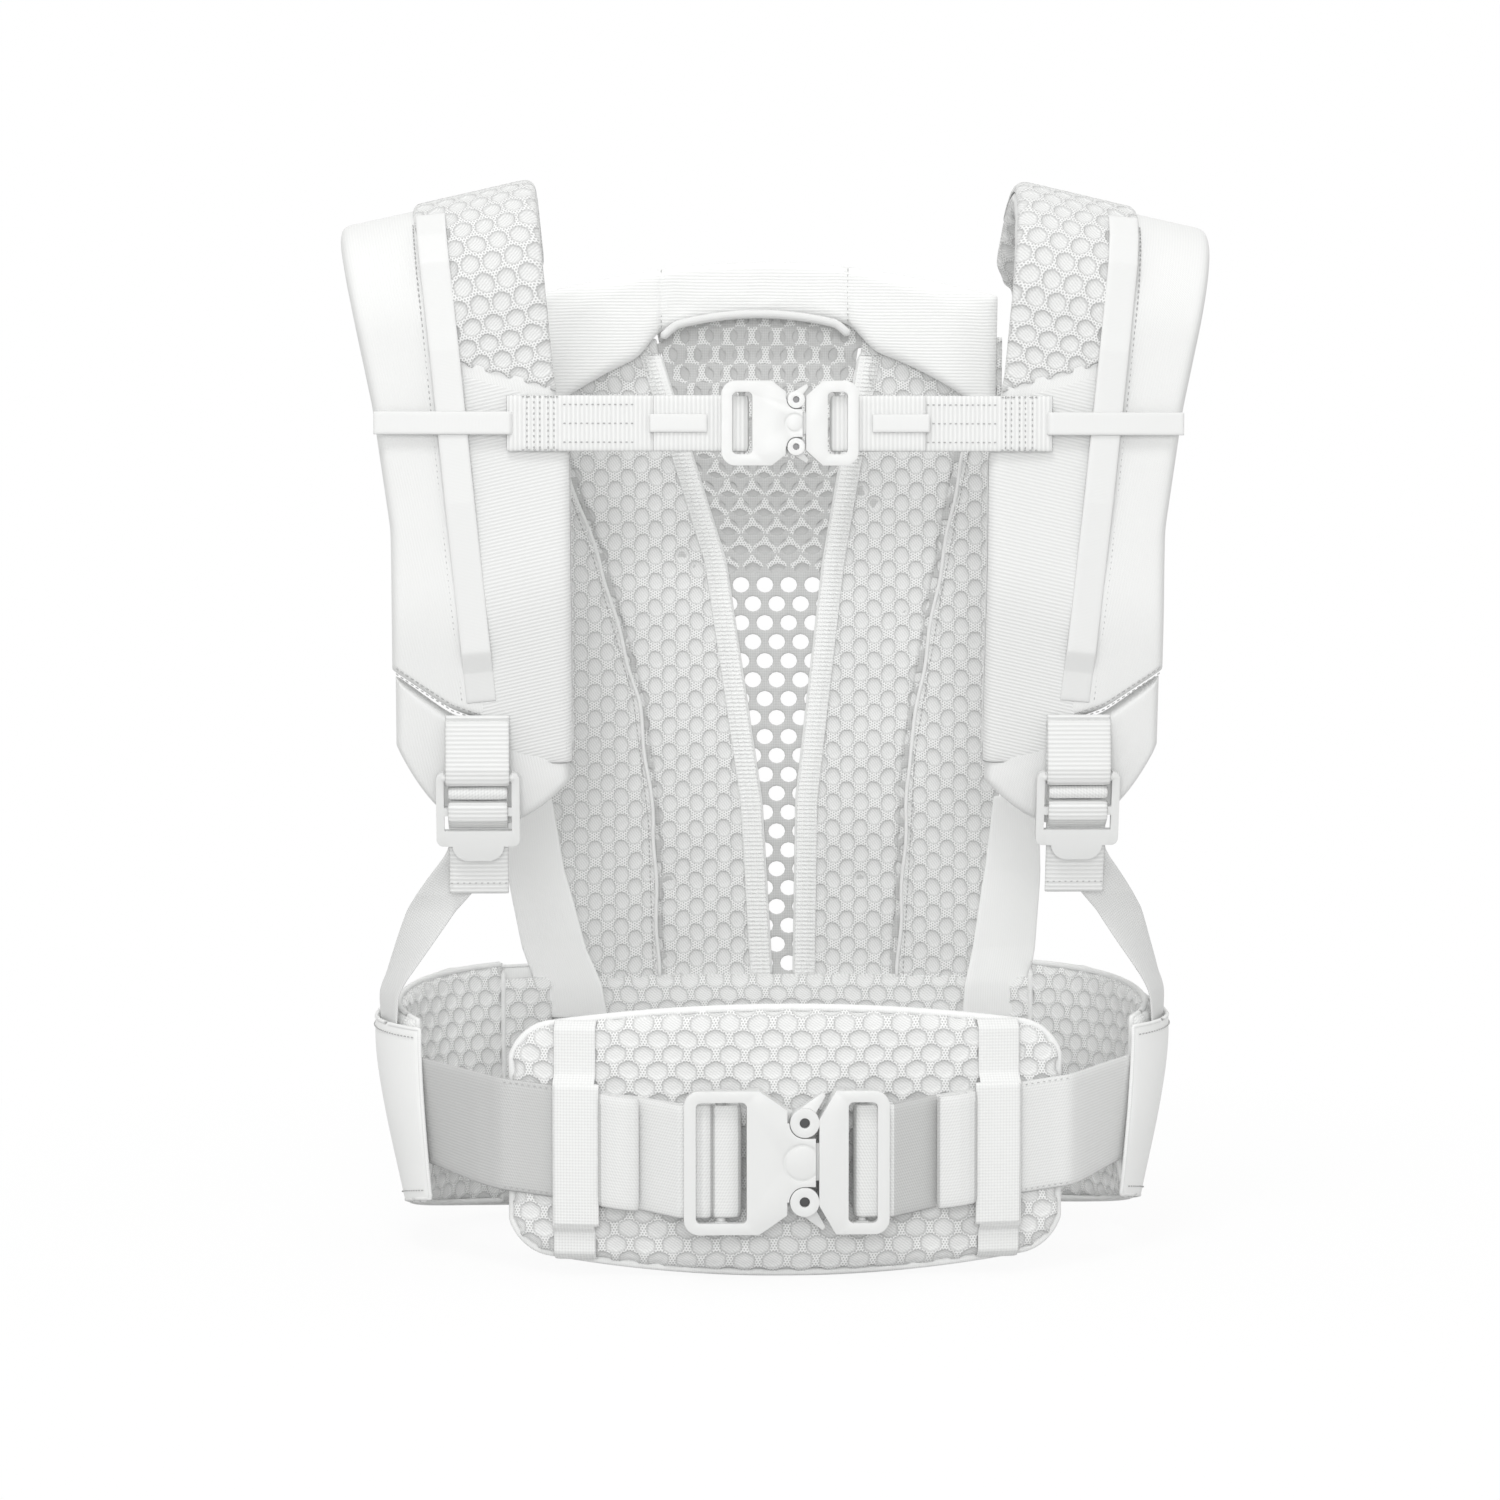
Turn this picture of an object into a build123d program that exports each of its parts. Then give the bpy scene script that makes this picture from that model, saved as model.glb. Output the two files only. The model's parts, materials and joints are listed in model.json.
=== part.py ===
from build123d import *
import os
from math import cos, radians, sin, sqrt, tan

os.makedirs("parts", exist_ok=True)

# Soft baby carrier as it hangs on the wearer, all sizes in millimetres.
# +Z up, -Y is the wearer's back (lumbar pad and buckles), +Y is the baby panel.

# ---------- driving dimensions ----------
gap = 0.3                     # air between sewn or stacked layers
fit = 0.1                     # running fit of a pin in its lever

# belt loop in plan: an oval of two end arcs and two side arcs
belt_half_width = 179.0
belt_half_depth = 95.0
belt_end_radius = 72.0
belt_height = 116.0
belt_front_height = 111.0     # the middle of the far side is a little lower than the wings
belt_foam_thickness = 9.0
belt_lining_thickness = 2.0
belt_centre_half_width = 104.0
wing_shell_thickness = 1.6
wing_pocket = 6.0             # room between shell and lining for the adjuster webbing
wing_lining_thickness = 6.0
wing_edge_x = 152.0           # near edge of a wing
wing_edge_rise = 27.0         # how far the near end of a wing lies above the base
wing_edge_drop = 6.0          # how far its top lies under the belt's top
wing_end_y = -58.9            # depth where the rise and the drop are complete

# lumbar pad
pad_width = 241.0
pad_height = 116.0
pad_end_height = 95.0         # height left at the pad's two ends
pad_foam_thickness = 12.0
pad_face_thickness = 2.0
pad_curve_radius = 620.0      # plan curve of the pad
pad_corner = 17.0
pad_shift = 2.5               # the pad sits this far to one side of the middle
pad_front = 95.0              # distance of the pad's face from the middle
band_width = 19.0             # ribbed elastic sewn over the pad
band_thickness = 1.0
band_offset = 91.0            # centre of each band from the pad's centre
band_room_below = 5.0         # room left over the webbing, below and above it
band_room_above = 7.0

# waist webbing
waist_web = 50.0
web_thickness = 1.6
waist_web_height = 51.5       # centre height at the buckle
waist_web_rise = 13.0         # how much higher it leaves the wing
tail_roll_width = 16.0
tail_roll_depth = 7.0
waist_buckle_lift = 5.2       # webbing to the middle of the buckle
waist_buckle_thick = 12.0
waist_buckle_shift = 1.5      # the buckle sits this far to one side of the middle

# shoulder straps
strap_spacing = 131.0         # centre of each strap from the middle, at its lower half
strap_lean = 13.0             # degrees that the shoulder arch rolls outwards
strap_face_thickness = 1.2
strap_foam_thickness = 9.6
strap_lining_thickness = 2.0
strap_front = 66.0            # middle of the near leg, from the middle of the loop
strap_leg_tilt = 12.0         # degrees that the lower leg turns in under the arm
strap_low_run = 72.0
strap_low_radius = 120.0
strap_straight_run = 108.0    # straight stretch that the chest strap slides along
strap_arch_radius = 47.0
strap_far_run = 50.0
strap_far_radius = 30.0
strap_far_end = 26.0
strap_turn_z = 300.0          # height where the leg turns in under the arm
strap_inner = ((88.0, 200.0), (88.5, 350.0), (96.0, 385.0), (106.0, 490.0))
strap_outer = ((167.0, 200.0), (168.0, 319.0), (175.4, 371.0), (200.0, 490.0))
seam_low = ((88.0, 222.0), (141.0, 240.0), (168.0, 258.0))
end_tip = ((163.0, 227.0), (129.0, 188.0), (93.0, 207.0))    # rounded end piece
rail_width = 13.6
rail_thickness = 1.6
rail_stand_off = 2.2          # tape to strap face, for the slider's back plate
rail_sewn = 14.0              # sewn-down length at each end
rail_top = (148.0, 446.0)     # centre of the tape, distance from the middle and height
rail_bottom = (128.5, 246.0)

# chest strap
chest_web = 25.0
chest_height = 364.0
chest_shift = 4.0             # the buckle sits this far to one side of the middle
slider_height = 10.5
slider_plate = 1.2
window_in = 116.5             # slot of the slider round the tape rail
window_out = 150.0
slider_in = 113.0
slider_out = 174.0
fold_length = 28.0            # folded-back tail of the webbing

# ladder locks and adjuster webbing
adjuster_web = 29.0
lock_width = 36.0
lock_height = 40.0
lock_thickness = 3.6
lock_bar_radius = 2.0
lock_x = 130.0                # centre of each lock from the middle
lock_bar_z = 212.0            # height of the top bar, the hinge of the lock
lock_rail = 3.4
mid_bar = -15.0               # heights of the lower bars, from the top bar
low_bar = -26.0
adjuster_degrees = 17.0       # where round the wing's end the adjuster webbing goes in
tab_front = 25.0              # how far the tab's two ends reach above the top bar
tab_back = 28.0
tail_drop = 28.0              # adjuster's free end below the lowest bar
tab_clearance = 1.3           # strap end to the sewn tab, at the tab's middle
lock_clearance = 1.3          # strap end to the webbing behind the lock

# baby panel
net_inset = 1.4               # depth of the net inside the belt's outer face
net_thickness = 1.2
flap_thickness = 1.8
panel_half_width_top = 112.0
panel_half_width_low = 104.0
panel_top = 424.0
head_thickness = 13.0
head_face_thickness = 1.2
head_top_mid = 446.0
head_top_end = 430.0
head_low_mid = 420.0
head_low_end = 380.0
head_seam_x = 46.0            # seams of the head support's middle, and the doubler's edges
side_band_thickness = 1.2
side_band_top = 196.0
side_band_corner = 192.0      # height of its inner upper corner
side_band_bend = 150.0
side_band_inner = (90.0, 74.0)  # its inner edge from the middle, above and below
side_band_outer = 102.0       # its lower outer corner
piping_thickness = 4.0
piping_height = 5.0
piping_fall = 10.0            # how much lower the piping would be at the panel's sides
piping_reach = 8.0            # how far the piping runs past the seams

# the model is drawn about the middle of the belt loop and written about its whole depth
waist_buckle_y = -(pad_front + 2 * web_thickness + 3 * gap + waist_buckle_lift)
centre_shift = (waist_buckle_thick / 2 - waist_buckle_y - belt_half_depth) / 2


def save(part, label):
    placed = part.moved(Location((0, centre_shift, 0)))
    placed.label = label
    export_step(placed, f"parts/{label}.step")


# ---------- belt oval: centres and radii of its arcs ----------
end_centre = belt_half_width - belt_end_radius
reach = belt_half_depth - belt_end_radius
side_centre = (end_centre**2 - reach**2) / (2 * reach)
side_radius = side_centre + belt_half_depth


def belt_oval(inset):
    """Closed oval in plan, `inset` inside the outer face of the belt."""
    r_end, r_side = belt_end_radius - inset, side_radius - inset
    slope = sqrt(end_centre**2 + side_centre**2)
    tx, ty = r_side * end_centre / slope, r_side * side_centre / slope - side_centre
    with BuildSketch() as oval:
        with BuildLine():
            ThreePointArc((-tx, ty), (0, belt_half_depth - inset), (tx, ty))
            ThreePointArc((tx, ty), (end_centre + r_end, 0), (tx, -ty))
            ThreePointArc((tx, -ty), (0, inset - belt_half_depth), (-tx, -ty))
            ThreePointArc((-tx, -ty), (-end_centre - r_end, 0), (-tx, ty))
        make_face()
    return oval.sketch


def belt_ring(outer, inner):
    with BuildPart() as ring:
        with BuildSketch():
            add(belt_oval(outer))
            add(belt_oval(inner), mode=Mode.SUBTRACT)
        extrude(amount=belt_height + 10)
    return ring.part


def panel_layer(inset, thickness):
    """Plan of a layer of the baby panel, concentric with the far side of the belt."""
    r = side_radius - inset
    with BuildSketch() as layer:
        with Locations((0, -side_centre)):
            Circle(r)
            Circle(r - thickness, mode=Mode.SUBTRACT)
        Rectangle(
            4 * belt_half_width, 2 * belt_half_depth,
            align=(Align.CENTER, Align.MIN), mode=Mode.INTERSECT,
        )
    return layer.sketch


# ---------- belt: middle of the far side ----------
belt_layers = (
    ("belt_front_shell", 0.0, wing_shell_thickness),
    ("belt_front_foam", wing_shell_thickness + gap, belt_foam_thickness),
    ("belt_front_lining", wing_shell_thickness + belt_foam_thickness + 2 * gap,
     belt_lining_thickness),
)
for label, inset, thickness in belt_layers:
    with BuildPart() as layer:
        with BuildSketch():
            add(panel_layer(inset, thickness))
            Rectangle(2 * belt_centre_half_width, 4 * belt_half_depth, mode=Mode.INTERSECT)
        extrude(amount=belt_front_height)
    save(layer.part, label)

# ---------- belt wings: a smooth shell outside, a padded mesh lining inside ----------
lining_inset = wing_shell_thickness + wing_pocket
for side, sign in (("left", -1), ("right", 1)):
    for kind, outer, inner in (
        ("shell", 0.0, wing_shell_thickness),
        ("lining", lining_inset, lining_inset + wing_lining_thickness),
    ):
        with BuildPart() as wing:
            add(belt_ring(outer, inner))
            # keep the side of the oval from the belt's middle round to the near edge
            with BuildSketch():
                with BuildLine():
                    Polyline(
                        (sign * (belt_centre_half_width + gap), 2 * belt_half_depth),
                        (sign * (belt_centre_half_width + gap), 0),
                        (sign * wing_edge_x, 0),
                        (sign * wing_edge_x, -2 * belt_half_depth),
                        (sign * 2 * belt_half_width, -2 * belt_half_depth),
                        (sign * 2 * belt_half_width, 2 * belt_half_depth),
                        close=True,
                    )
                make_face()
            extrude(amount=2 * belt_height, mode=Mode.INTERSECT)
            # the lower edge rises and the upper edge falls towards the near end
            with BuildSketch(Plane.YZ):
                with BuildLine():
                    Polyline(
                        (belt_half_depth, 0),
                        (belt_half_depth / 3, 0),
                        (wing_end_y, wing_edge_rise),
                        (wing_end_y, belt_height - wing_edge_drop),
                        (belt_half_depth / 3, belt_height),
                        (belt_half_depth, belt_height),
                        close=True,
                    )
                make_face()
            extrude(amount=2 * belt_half_width, both=True, mode=Mode.INTERSECT)
        save(wing.part, f"belt_wing_{kind}_{side}")


# ---------- lumbar pad ----------
pad_centre_y = pad_curve_radius - pad_front


def pad_strip(outward, thickness, x_from, x_to):
    """Plan of a layer that follows the pad's curve, `outward` in front of the pad's face."""
    with BuildSketch() as strip:
        with Locations((pad_shift, pad_centre_y)):
            Circle(pad_curve_radius + outward)
            Circle(pad_curve_radius + outward - thickness, mode=Mode.SUBTRACT)
        with Locations(((x_from + x_to) / 2, -pad_front)):
            Rectangle(x_to - x_from, pad_front, mode=Mode.INTERSECT)
    return strip.sketch


pad_left, pad_right = pad_shift - pad_width / 2, pad_shift + pad_width / 2
pad_rise = (pad_height - pad_end_height) / 2
for label, outward, thickness in (
    ("lumbar_pad_face", 0.0, pad_face_thickness),
    ("lumbar_pad_foam", -pad_face_thickness - gap, pad_foam_thickness),
):
    with BuildPart() as pad:
        with BuildSketch():
            add(pad_strip(outward, thickness, pad_left, pad_right))
        extrude(amount=pad_height)
        with BuildSketch(Plane.XZ):
            with BuildLine():
                ThreePointArc((pad_left, pad_rise), (pad_shift, 0), (pad_right, pad_rise))
                Line((pad_right, pad_rise), (pad_right, pad_height - pad_rise))
                ThreePointArc(
                    (pad_right, pad_height - pad_rise),
                    (pad_shift, pad_height),
                    (pad_left, pad_height - pad_rise),
                )
                Line((pad_left, pad_height - pad_rise), (pad_left, pad_rise))
            face = make_face()
            fillet(face.vertices(), pad_corner)
        extrude(amount=2 * pad_front, both=True, mode=Mode.INTERSECT)
    save(pad.part, label)

# ribbed elastic bands: full height of the pad, arched over the waist webbing
for side, sign in (("left", -1), ("right", 1)):
    centre = pad_shift + sign * band_offset
    low = waist_web_height - waist_web / 2 - band_room_below
    high = waist_web_height + waist_web / 2 + band_room_above
    arch = 2 * web_thickness + 3 * gap
    band_low = pad_rise * 0.6
    with BuildPart() as band:
        with BuildSketch():
            add(pad_strip(
                gap + band_thickness, band_thickness,
                centre - band_width / 2, centre + band_width / 2,
            ))
        extrude(amount=pad_height)
        with BuildSketch(Plane.XY.offset(low - band_thickness)):
            add(pad_strip(
                arch + band_thickness, arch + band_thickness - gap,
                centre - band_width / 2, centre + band_width / 2,
            ))
        extrude(amount=high - low + 2 * band_thickness)
        with BuildSketch(Plane.XY.offset(low)):
            add(pad_strip(
                arch, arch + 1,
                centre - band_width, centre + band_width,
            ))
        extrude(amount=high - low, mode=Mode.SUBTRACT)
        with BuildSketch(Plane.XY):
            with Locations((centre, 0)):
                Rectangle(2 * band_width, 4 * pad_front)
        extrude(amount=band_low, mode=Mode.SUBTRACT)
        with BuildSketch(Plane.XY.offset(pad_height - band_low)):
            with Locations((centre, 0)):
                Rectangle(2 * band_width, 4 * pad_front)
        extrude(amount=band_low, mode=Mode.SUBTRACT)
    save(band.part, f"lumbar_band_{side}")


# ---------- release buckle: body, latch, two levers, their pins and springs ----------
def release_buckle(tag, place, size):
    """Two-lever buckle. place: x to the latch side, y up, z away from the wearer."""
    half_length, half_height, thick = size["length"] / 2, size["height"] / 2, size["thick"]
    wall, bar = size["wall"], size["bar"]
    slot_h = size["web"] + 1.5
    back, front = -thick / 2, thick / 2
    plate = size["plate"]
    layer_low, layer_high = back + plate + gap, front - plate - gap
    pivot = (size["pivot_x"], size["pivot_y"])
    head = size["head_radius"]
    neck, flare = size["neck"], size["flare"]
    waist = half_length * 0.27            # where the body starts to taper
    nose_x = pivot[0] - 1.55 * head
    frame_thick = size["frame_thick"]
    body_slot = size["body_slot"]
    latch_slot = size["latch_slot"]
    throat = -half_length + wall + body_slot + wall
    seam = pivot[0] + head * 0.75          # the latch starts here at its shoulders
    tongue_end = throat + 3.6

    def outline_body():
        with BuildSketch() as s:
            with BuildLine():
                Polyline(
                    (-half_length, -half_height), (-waist, -half_height),
                    (pivot[0] - head, -pivot[1] - head * 0.75), (seam, -pivot[1]),
                    (seam, pivot[1]), (pivot[0] - head, pivot[1] + head * 0.75),
                    (-waist, half_height), (-half_length, half_height), close=True,
                )
            face = make_face()
            fillet(face.vertices().sort_by(Axis.X)[:2], wall * 1.3)
        return s.sketch

    # body: a frame with a bar for the webbing, and a housing of two plates for the latch
    with BuildPart() as body:
        with BuildSketch(place.offset(front - frame_thick)):
            add(outline_body())
            with Locations((-half_length + wall + body_slot / 2, 0)):
                RectangleRounded(body_slot, slot_h, wall * 0.45, mode=Mode.SUBTRACT)
        extrude(amount=frame_thick)
        with BuildSketch(place.offset(back)):
            add(outline_body())
            with Locations((-half_length + (wall + body_slot) / 2, 0)):
                Rectangle(wall + body_slot, 3 * half_height, mode=Mode.SUBTRACT)
        extrude(amount=thick)
        # mouth for the tongue, the levers and their sweep, through the latch side
        with BuildSketch(place.offset(back + plate)):
            with BuildLine():
                Polyline(
                    (tongue_end - gap, -neck - flare - 0.8), (nose_x - 3.5, -neck - flare - 0.8),
                    (nose_x - 3.5, -pivot[1] + 1.0), (pivot[0] - head * 1.1, -half_height - 1),
                    (2 * half_length, -half_height - 1), (2 * half_length, half_height + 1),
                    (pivot[0] - head * 1.1, half_height + 1), (nose_x - 3.5, pivot[1] - 1.0),
                    (nose_x - 3.5, neck + flare + 0.8), (tongue_end - gap, neck + flare + 0.8),
                    close=True,
                )
            make_face()
        extrude(amount=thick - 2 * plate, mode=Mode.SUBTRACT)
        # the front plate is cut back round the lever heads
        with BuildSketch(place.offset(front - plate)):
            with Locations((pivot[0], pivot[1]), (pivot[0], -pivot[1])):
                Circle(head + 0.4)
                with Locations((head, 0)):
                    Rectangle(2 * head, 2 * head + 0.8)
            for way in (-1, 1):
                with Locations((pivot[0] + 0.25 * head, way * (pivot[1] + head))):
                    Rectangle(2.9 * head, 2 * head)
        extrude(amount=plate, mode=Mode.SUBTRACT)
        # bores for the two pins in the back plate
        with BuildSketch(place.offset(back + 0.8)):
            with Locations((pivot[0], pivot[1]), (pivot[0], -pivot[1])):
                Circle(size["pin_radius"])
        extrude(amount=plate, mode=Mode.SUBTRACT)
        # shallow round recess in the middle of the front plate
        with BuildSketch(place.offset(front - 0.5)):
            with Locations((pivot[0] - head * 0.2, 0)):
                Circle(size["disc_radius"])
                Circle(size["disc_radius"] - 1.3, mode=Mode.SUBTRACT)
        extrude(amount=0.5, mode=Mode.SUBTRACT)
        # bar that the webbing turns round, set behind the frame and joined to its ends
        bar_x, bar_z = -half_length + wall + body_slot / 2, size["bar_depth"]
        with BuildSketch(Plane(
            origin=place.from_local_coords((bar_x, -half_height + wall * 0.6, bar_z)),
            x_dir=place.x_dir, z_dir=place.y_dir,
        )):
            Circle(bar)
        extrude(amount=2 * half_height - 1.2 * wall)
        for way in (-1, 1):
            with BuildSketch(place.offset(bar_z - bar)):
                with Locations((bar_x, way * (slot_h / 2 + wall / 2 - 0.3))):
                    Rectangle(2.4 * bar, wall * 0.9)
            extrude(amount=front - frame_thick - bar_z + bar + 0.5)
    save(body.part, f"{tag}_buckle_body")

    # latch: frame with its bar, sloping shoulders and a flared tongue
    shoulder = half_length * 0.48
    with BuildPart() as latch:
        with BuildSketch(place.offset(front - frame_thick)):
            with BuildLine():
                Polyline(
                    (half_length, -half_height), (shoulder, -half_height),
                    (seam + gap + 1.2, -pivot[1] - 1.5), (seam + gap + 1.2, pivot[1] + 1.5),
                    (shoulder, half_height), (half_length, half_height), close=True,
                )
            face = make_face()
            fillet(face.vertices().sort_by(Axis.X)[-2:], wall * 1.3)
            with Locations((half_length - wall - latch_slot / 2, 0)):
                RectangleRounded(latch_slot, slot_h, wall * 0.45, mode=Mode.SUBTRACT)
        extrude(amount=frame_thick)
        with BuildSketch(place.offset(back)):
            with BuildLine():
                Polyline(
                    (half_length - latch_slot - 1.3 * wall, -half_height),
                    (shoulder, -half_height), (seam + gap + 1.2, -pivot[1] - 1.5),
                    (seam + gap + 1.2, pivot[1] + 1.5), (shoulder, half_height),
                    (half_length - latch_slot - 1.3 * wall, half_height), close=True,
                )
            make_face()
        extrude(amount=thick)
        with BuildSketch(place.offset(layer_low)):
            with BuildLine():
                Polyline(
                    (seam + 3, -neck), (nose_x + 1, -neck), (tongue_end + 1.5, -neck - flare),
                    (tongue_end, -neck + 1), (tongue_end, neck - 1),
                    (tongue_end + 1.5, neck + flare), (nose_x + 1, neck), (seam + 3, neck),
                    close=True,
                )
            make_face()
        extrude(amount=layer_high - layer_low)
        bar_x = half_length - wall - latch_slot / 2
        with BuildSketch(Plane(
            origin=place.from_local_coords((bar_x, -half_height + wall * 0.6, bar_z)),
            x_dir=place.x_dir, z_dir=place.y_dir,
        )):
            Circle(bar * 0.8)
        extrude(amount=2 * half_height - 1.2 * wall)
        for way in (-1, 1):
            with BuildSketch(place.offset(bar_z - bar)):
                with Locations((bar_x, way * (slot_h / 2 + wall / 2 - 0.3))):
                    Rectangle(2.4 * bar, wall * 0.9)
            extrude(amount=front - frame_thick - bar_z + bar + 0.5)
    save(latch.part, f"{tag}_buckle_latch")

    # levers: round head on the pin, a thumb fin outwards and a nose against the tongue
    for name, way in (("upper", 1), ("lower", -1)):
        px, py = pivot[0], way * pivot[1]
        with BuildPart() as lever:
            with BuildSketch(place.offset(layer_low)):
                with BuildLine():
                    Polyline(
                        (px - head * 0.9, py - way * head * 0.2),
                        (nose_x, way * (neck + gap + 1.6)), (nose_x, way * (neck + gap)),
                        (nose_x + 1.6, way * (neck + gap)), (px, py - way * head * 0.9),
                        close=True,
                    )
                make_face()
                with BuildLine():
                    Polyline(
                        (px - head * 0.75, py + way * head * 0.6),
                        (px + head * 1.25, way * (half_height - 1.2)),
                        (px + head * 1.45, way * (half_height - 2.6)),
                        (px + head * 0.75, py + way * head * 0.55),
                        close=True,
                    )
                make_face()
                with Locations((px, py)):
                    Circle(head)
            extrude(amount=layer_high - layer_low - 1.2)
            with BuildSketch(place.offset(layer_low)):
                with Locations((px, py)):
                    Circle(head)
            extrude(amount=front - layer_low - 0.3)
            with BuildSketch(place.offset(back)):
                with Locations((px, py)):
                    Circle(size["pin_radius"] + fit)
            extrude(amount=2 * thick, mode=Mode.SUBTRACT)
        save(lever.part, f"{tag}_lever_{name}")

    # bent leaf spring between each lever and the wall of the mouth
    with BuildPart() as springs:
        for way in (-1, 1):
            with BuildSketch(place.offset(layer_low + 0.4)):
                with BuildLine():
                    Polyline(
                        (nose_x - 3.0, way * (pivot[1] - 0.3 * head)),
                        (nose_x + 0.16 * head, way * (pivot[1] - 0.55 * head)),
                        (nose_x - 3.0, way * (pivot[1] - 0.8 * head)),
                    )
                trace(line_width=0.4)
            extrude(amount=layer_high - layer_low - 2.0, dir=place.z_dir)
    save(springs.part, f"{tag}_lever_springs")

    with BuildPart() as pins:
        with BuildSketch(place.offset(back + 0.8 + gap)):
            with Locations((pivot[0], pivot[1]), (pivot[0], -pivot[1])):
                Circle(size["pin_radius"])
        extrude(amount=thick - 0.8 - gap - 2.2)
    save(pins.part, f"{tag}_lever_pins")


waist_buckle = dict(
    length=87.0, height=61.0, thick=waist_buckle_thick, wall=5.0, bar=2.2, web=waist_web,
    body_slot=21.6, latch_slot=12.4, frame_thick=4.0, plate=2.7, bar_depth=-2.4,
    pivot_x=7.6, pivot_y=16.8, head_radius=6.2, pin_radius=2.1,
    neck=8.0, flare=0.6, disc_radius=8.2,
)
chest_buckle = dict(
    length=58.5, height=36.0, thick=8.4, wall=4.6, bar=1.4, web=chest_web,
    body_slot=8.6, latch_slot=8.6, frame_thick=3.2, plate=2.0, bar_depth=-2.6,
    pivot_x=2.6, pivot_y=10.0, head_radius=3.7, pin_radius=1.3,
    neck=4.6, flare=0.4, disc_radius=4.4,
)
waist_place = Plane(
    origin=(waist_buckle_shift, waist_buckle_y, waist_web_height), x_dir=(1, 0, 0), z_dir=(0, -1, 0)
)
strap_thickness = strap_face_thickness + strap_foam_thickness + strap_lining_thickness + 2 * gap
strap_face_y = -(strap_front + strap_thickness / 2)
rail_y = strap_face_y - rail_stand_off - rail_thickness / 2
chest_place = Plane(
    origin=(chest_shift, rail_y - 1.2, chest_height), x_dir=(1, 0, 0), z_dir=(0, -1, 0)
)
release_buckle("waist", waist_place, waist_buckle)
release_buckle("chest", chest_place, chest_buckle)


def webbing_strip(route, x_from, x_to, height, width, level_from, rise=0.0):
    """Upright webbing: `route` is its line in plan; its middle rises away from the buckle."""
    with BuildPart() as web:
        with BuildSketch():
            with BuildLine():
                add(route)
            trace(line_width=web_thickness)
        extrude(amount=2 * (height + width), dir=(0, 0, 1))
        with BuildSketch(Plane.XZ):
            with BuildLine():
                Polyline(
                    (x_from, height + rise - width / 2), (level_from, height - width / 2),
                    (x_to, height - width / 2), (x_to, height + width / 2),
                    (level_from, height + width / 2), (x_from, height + rise + width / 2),
                    close=True,
                )
            make_face()
        extrude(amount=2 * belt_half_depth, both=True, mode=Mode.INTERSECT)
    return web.part


def pad_point(x, outward):
    """Point in plan on the pad's curve at x, `outward` in front of its face."""
    r = pad_curve_radius + outward
    return (x, pad_centre_y - sqrt(r**2 - (x - pad_shift) ** 2))


# ---------- waist webbing: from the wing's pocket, over the pad, round the buckle's bar ----------
pocket_radius = belt_end_radius - wing_shell_thickness - gap - web_thickness / 2 - 0.1
pocket_x = wing_edge_x - end_centre
pocket_y = sqrt(pocket_radius**2 - pocket_x**2)
run_layer = gap + web_thickness / 2
back_layer = run_layer + web_thickness + gap
half_waist = waist_buckle["length"] / 2
waist_turn = waist_buckle["bar"] + gap + web_thickness / 2
bar_y = waist_buckle_y - waist_buckle["bar_depth"]
for side, sign in (("left", -1), ("right", 1)):
    slot = waist_buckle["body_slot"] if sign < 0 else waist_buckle["latch_slot"]
    bar_x = waist_place.origin.X + sign * (half_waist - waist_buckle["wall"] - slot / 2)
    entry_x = waist_place.origin.X + sign * (half_waist + 2)
    pad_end = pad_shift + sign * pad_width / 2
    roll_x = pad_shift + sign * (band_offset - band_width / 2 - 1.5 - tail_roll_width / 2)
    lift_x = roll_x - sign * tail_roll_width / 2
    with BuildLine() as route:
        Polyline(
            (sign * (wing_edge_x + 5.6), -pocket_y + 5.7),
            (sign * wing_edge_x, -pocket_y),
            pad_point(pad_end + sign * 1.5, run_layer + 1.0),
            pad_point(pad_end - sign * 6, run_layer),
        )
        ThreePointArc(
            pad_point(pad_end - sign * 6, run_layer),
            pad_point((pad_end + lift_x) / 2, run_layer),
            pad_point(lift_x, run_layer),
        )
        Polyline(
            pad_point(lift_x, run_layer), (entry_x, bar_y + waist_turn), (bar_x, bar_y + waist_turn)
        )
        ThreePointArc(
            (bar_x, bar_y + waist_turn), (bar_x - sign * waist_turn, bar_y), (bar_x, bar_y - waist_turn)
        )
        Polyline(
            (bar_x, bar_y - waist_turn), (entry_x, bar_y - waist_turn),
            pad_point(lift_x, back_layer),
            pad_point(roll_x + sign * tail_roll_width / 4, back_layer),
        )
    # the free end is rolled up flat in front of the run
    outward = back_layer + tail_roll_depth / 2 - web_thickness / 2
    roll_z = waist_web_height + waist_web_rise * (abs(roll_x) - half_waist) / (wing_edge_x - half_waist)
    roll_turn = Plane(
        origin=(*pad_point(roll_x, outward), roll_z - waist_web / 2 + 1),
        x_dir=(pad_curve_radius, roll_x - pad_shift, 0),
        z_dir=(0, 0, 1),
    )
    with BuildPart() as webbing:
        add(webbing_strip(
            route.line, sign * (wing_edge_x + 6), bar_x - sign * 10,
            waist_web_height, waist_web, entry_x, waist_web_rise,
        ))
        with BuildSketch(roll_turn):
            SlotOverall(tail_roll_width, tail_roll_depth)
            SlotOverall(
                tail_roll_width - 2 * web_thickness, tail_roll_depth - 2 * web_thickness,
                mode=Mode.SUBTRACT,
            )
            with Locations((sign * web_thickness, 0)):
                Rectangle(tail_roll_width - 2 * web_thickness, web_thickness / 2)
        extrude(amount=waist_web - 2)
    save(webbing.part, f"waist_webbing_{side}")


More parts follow.
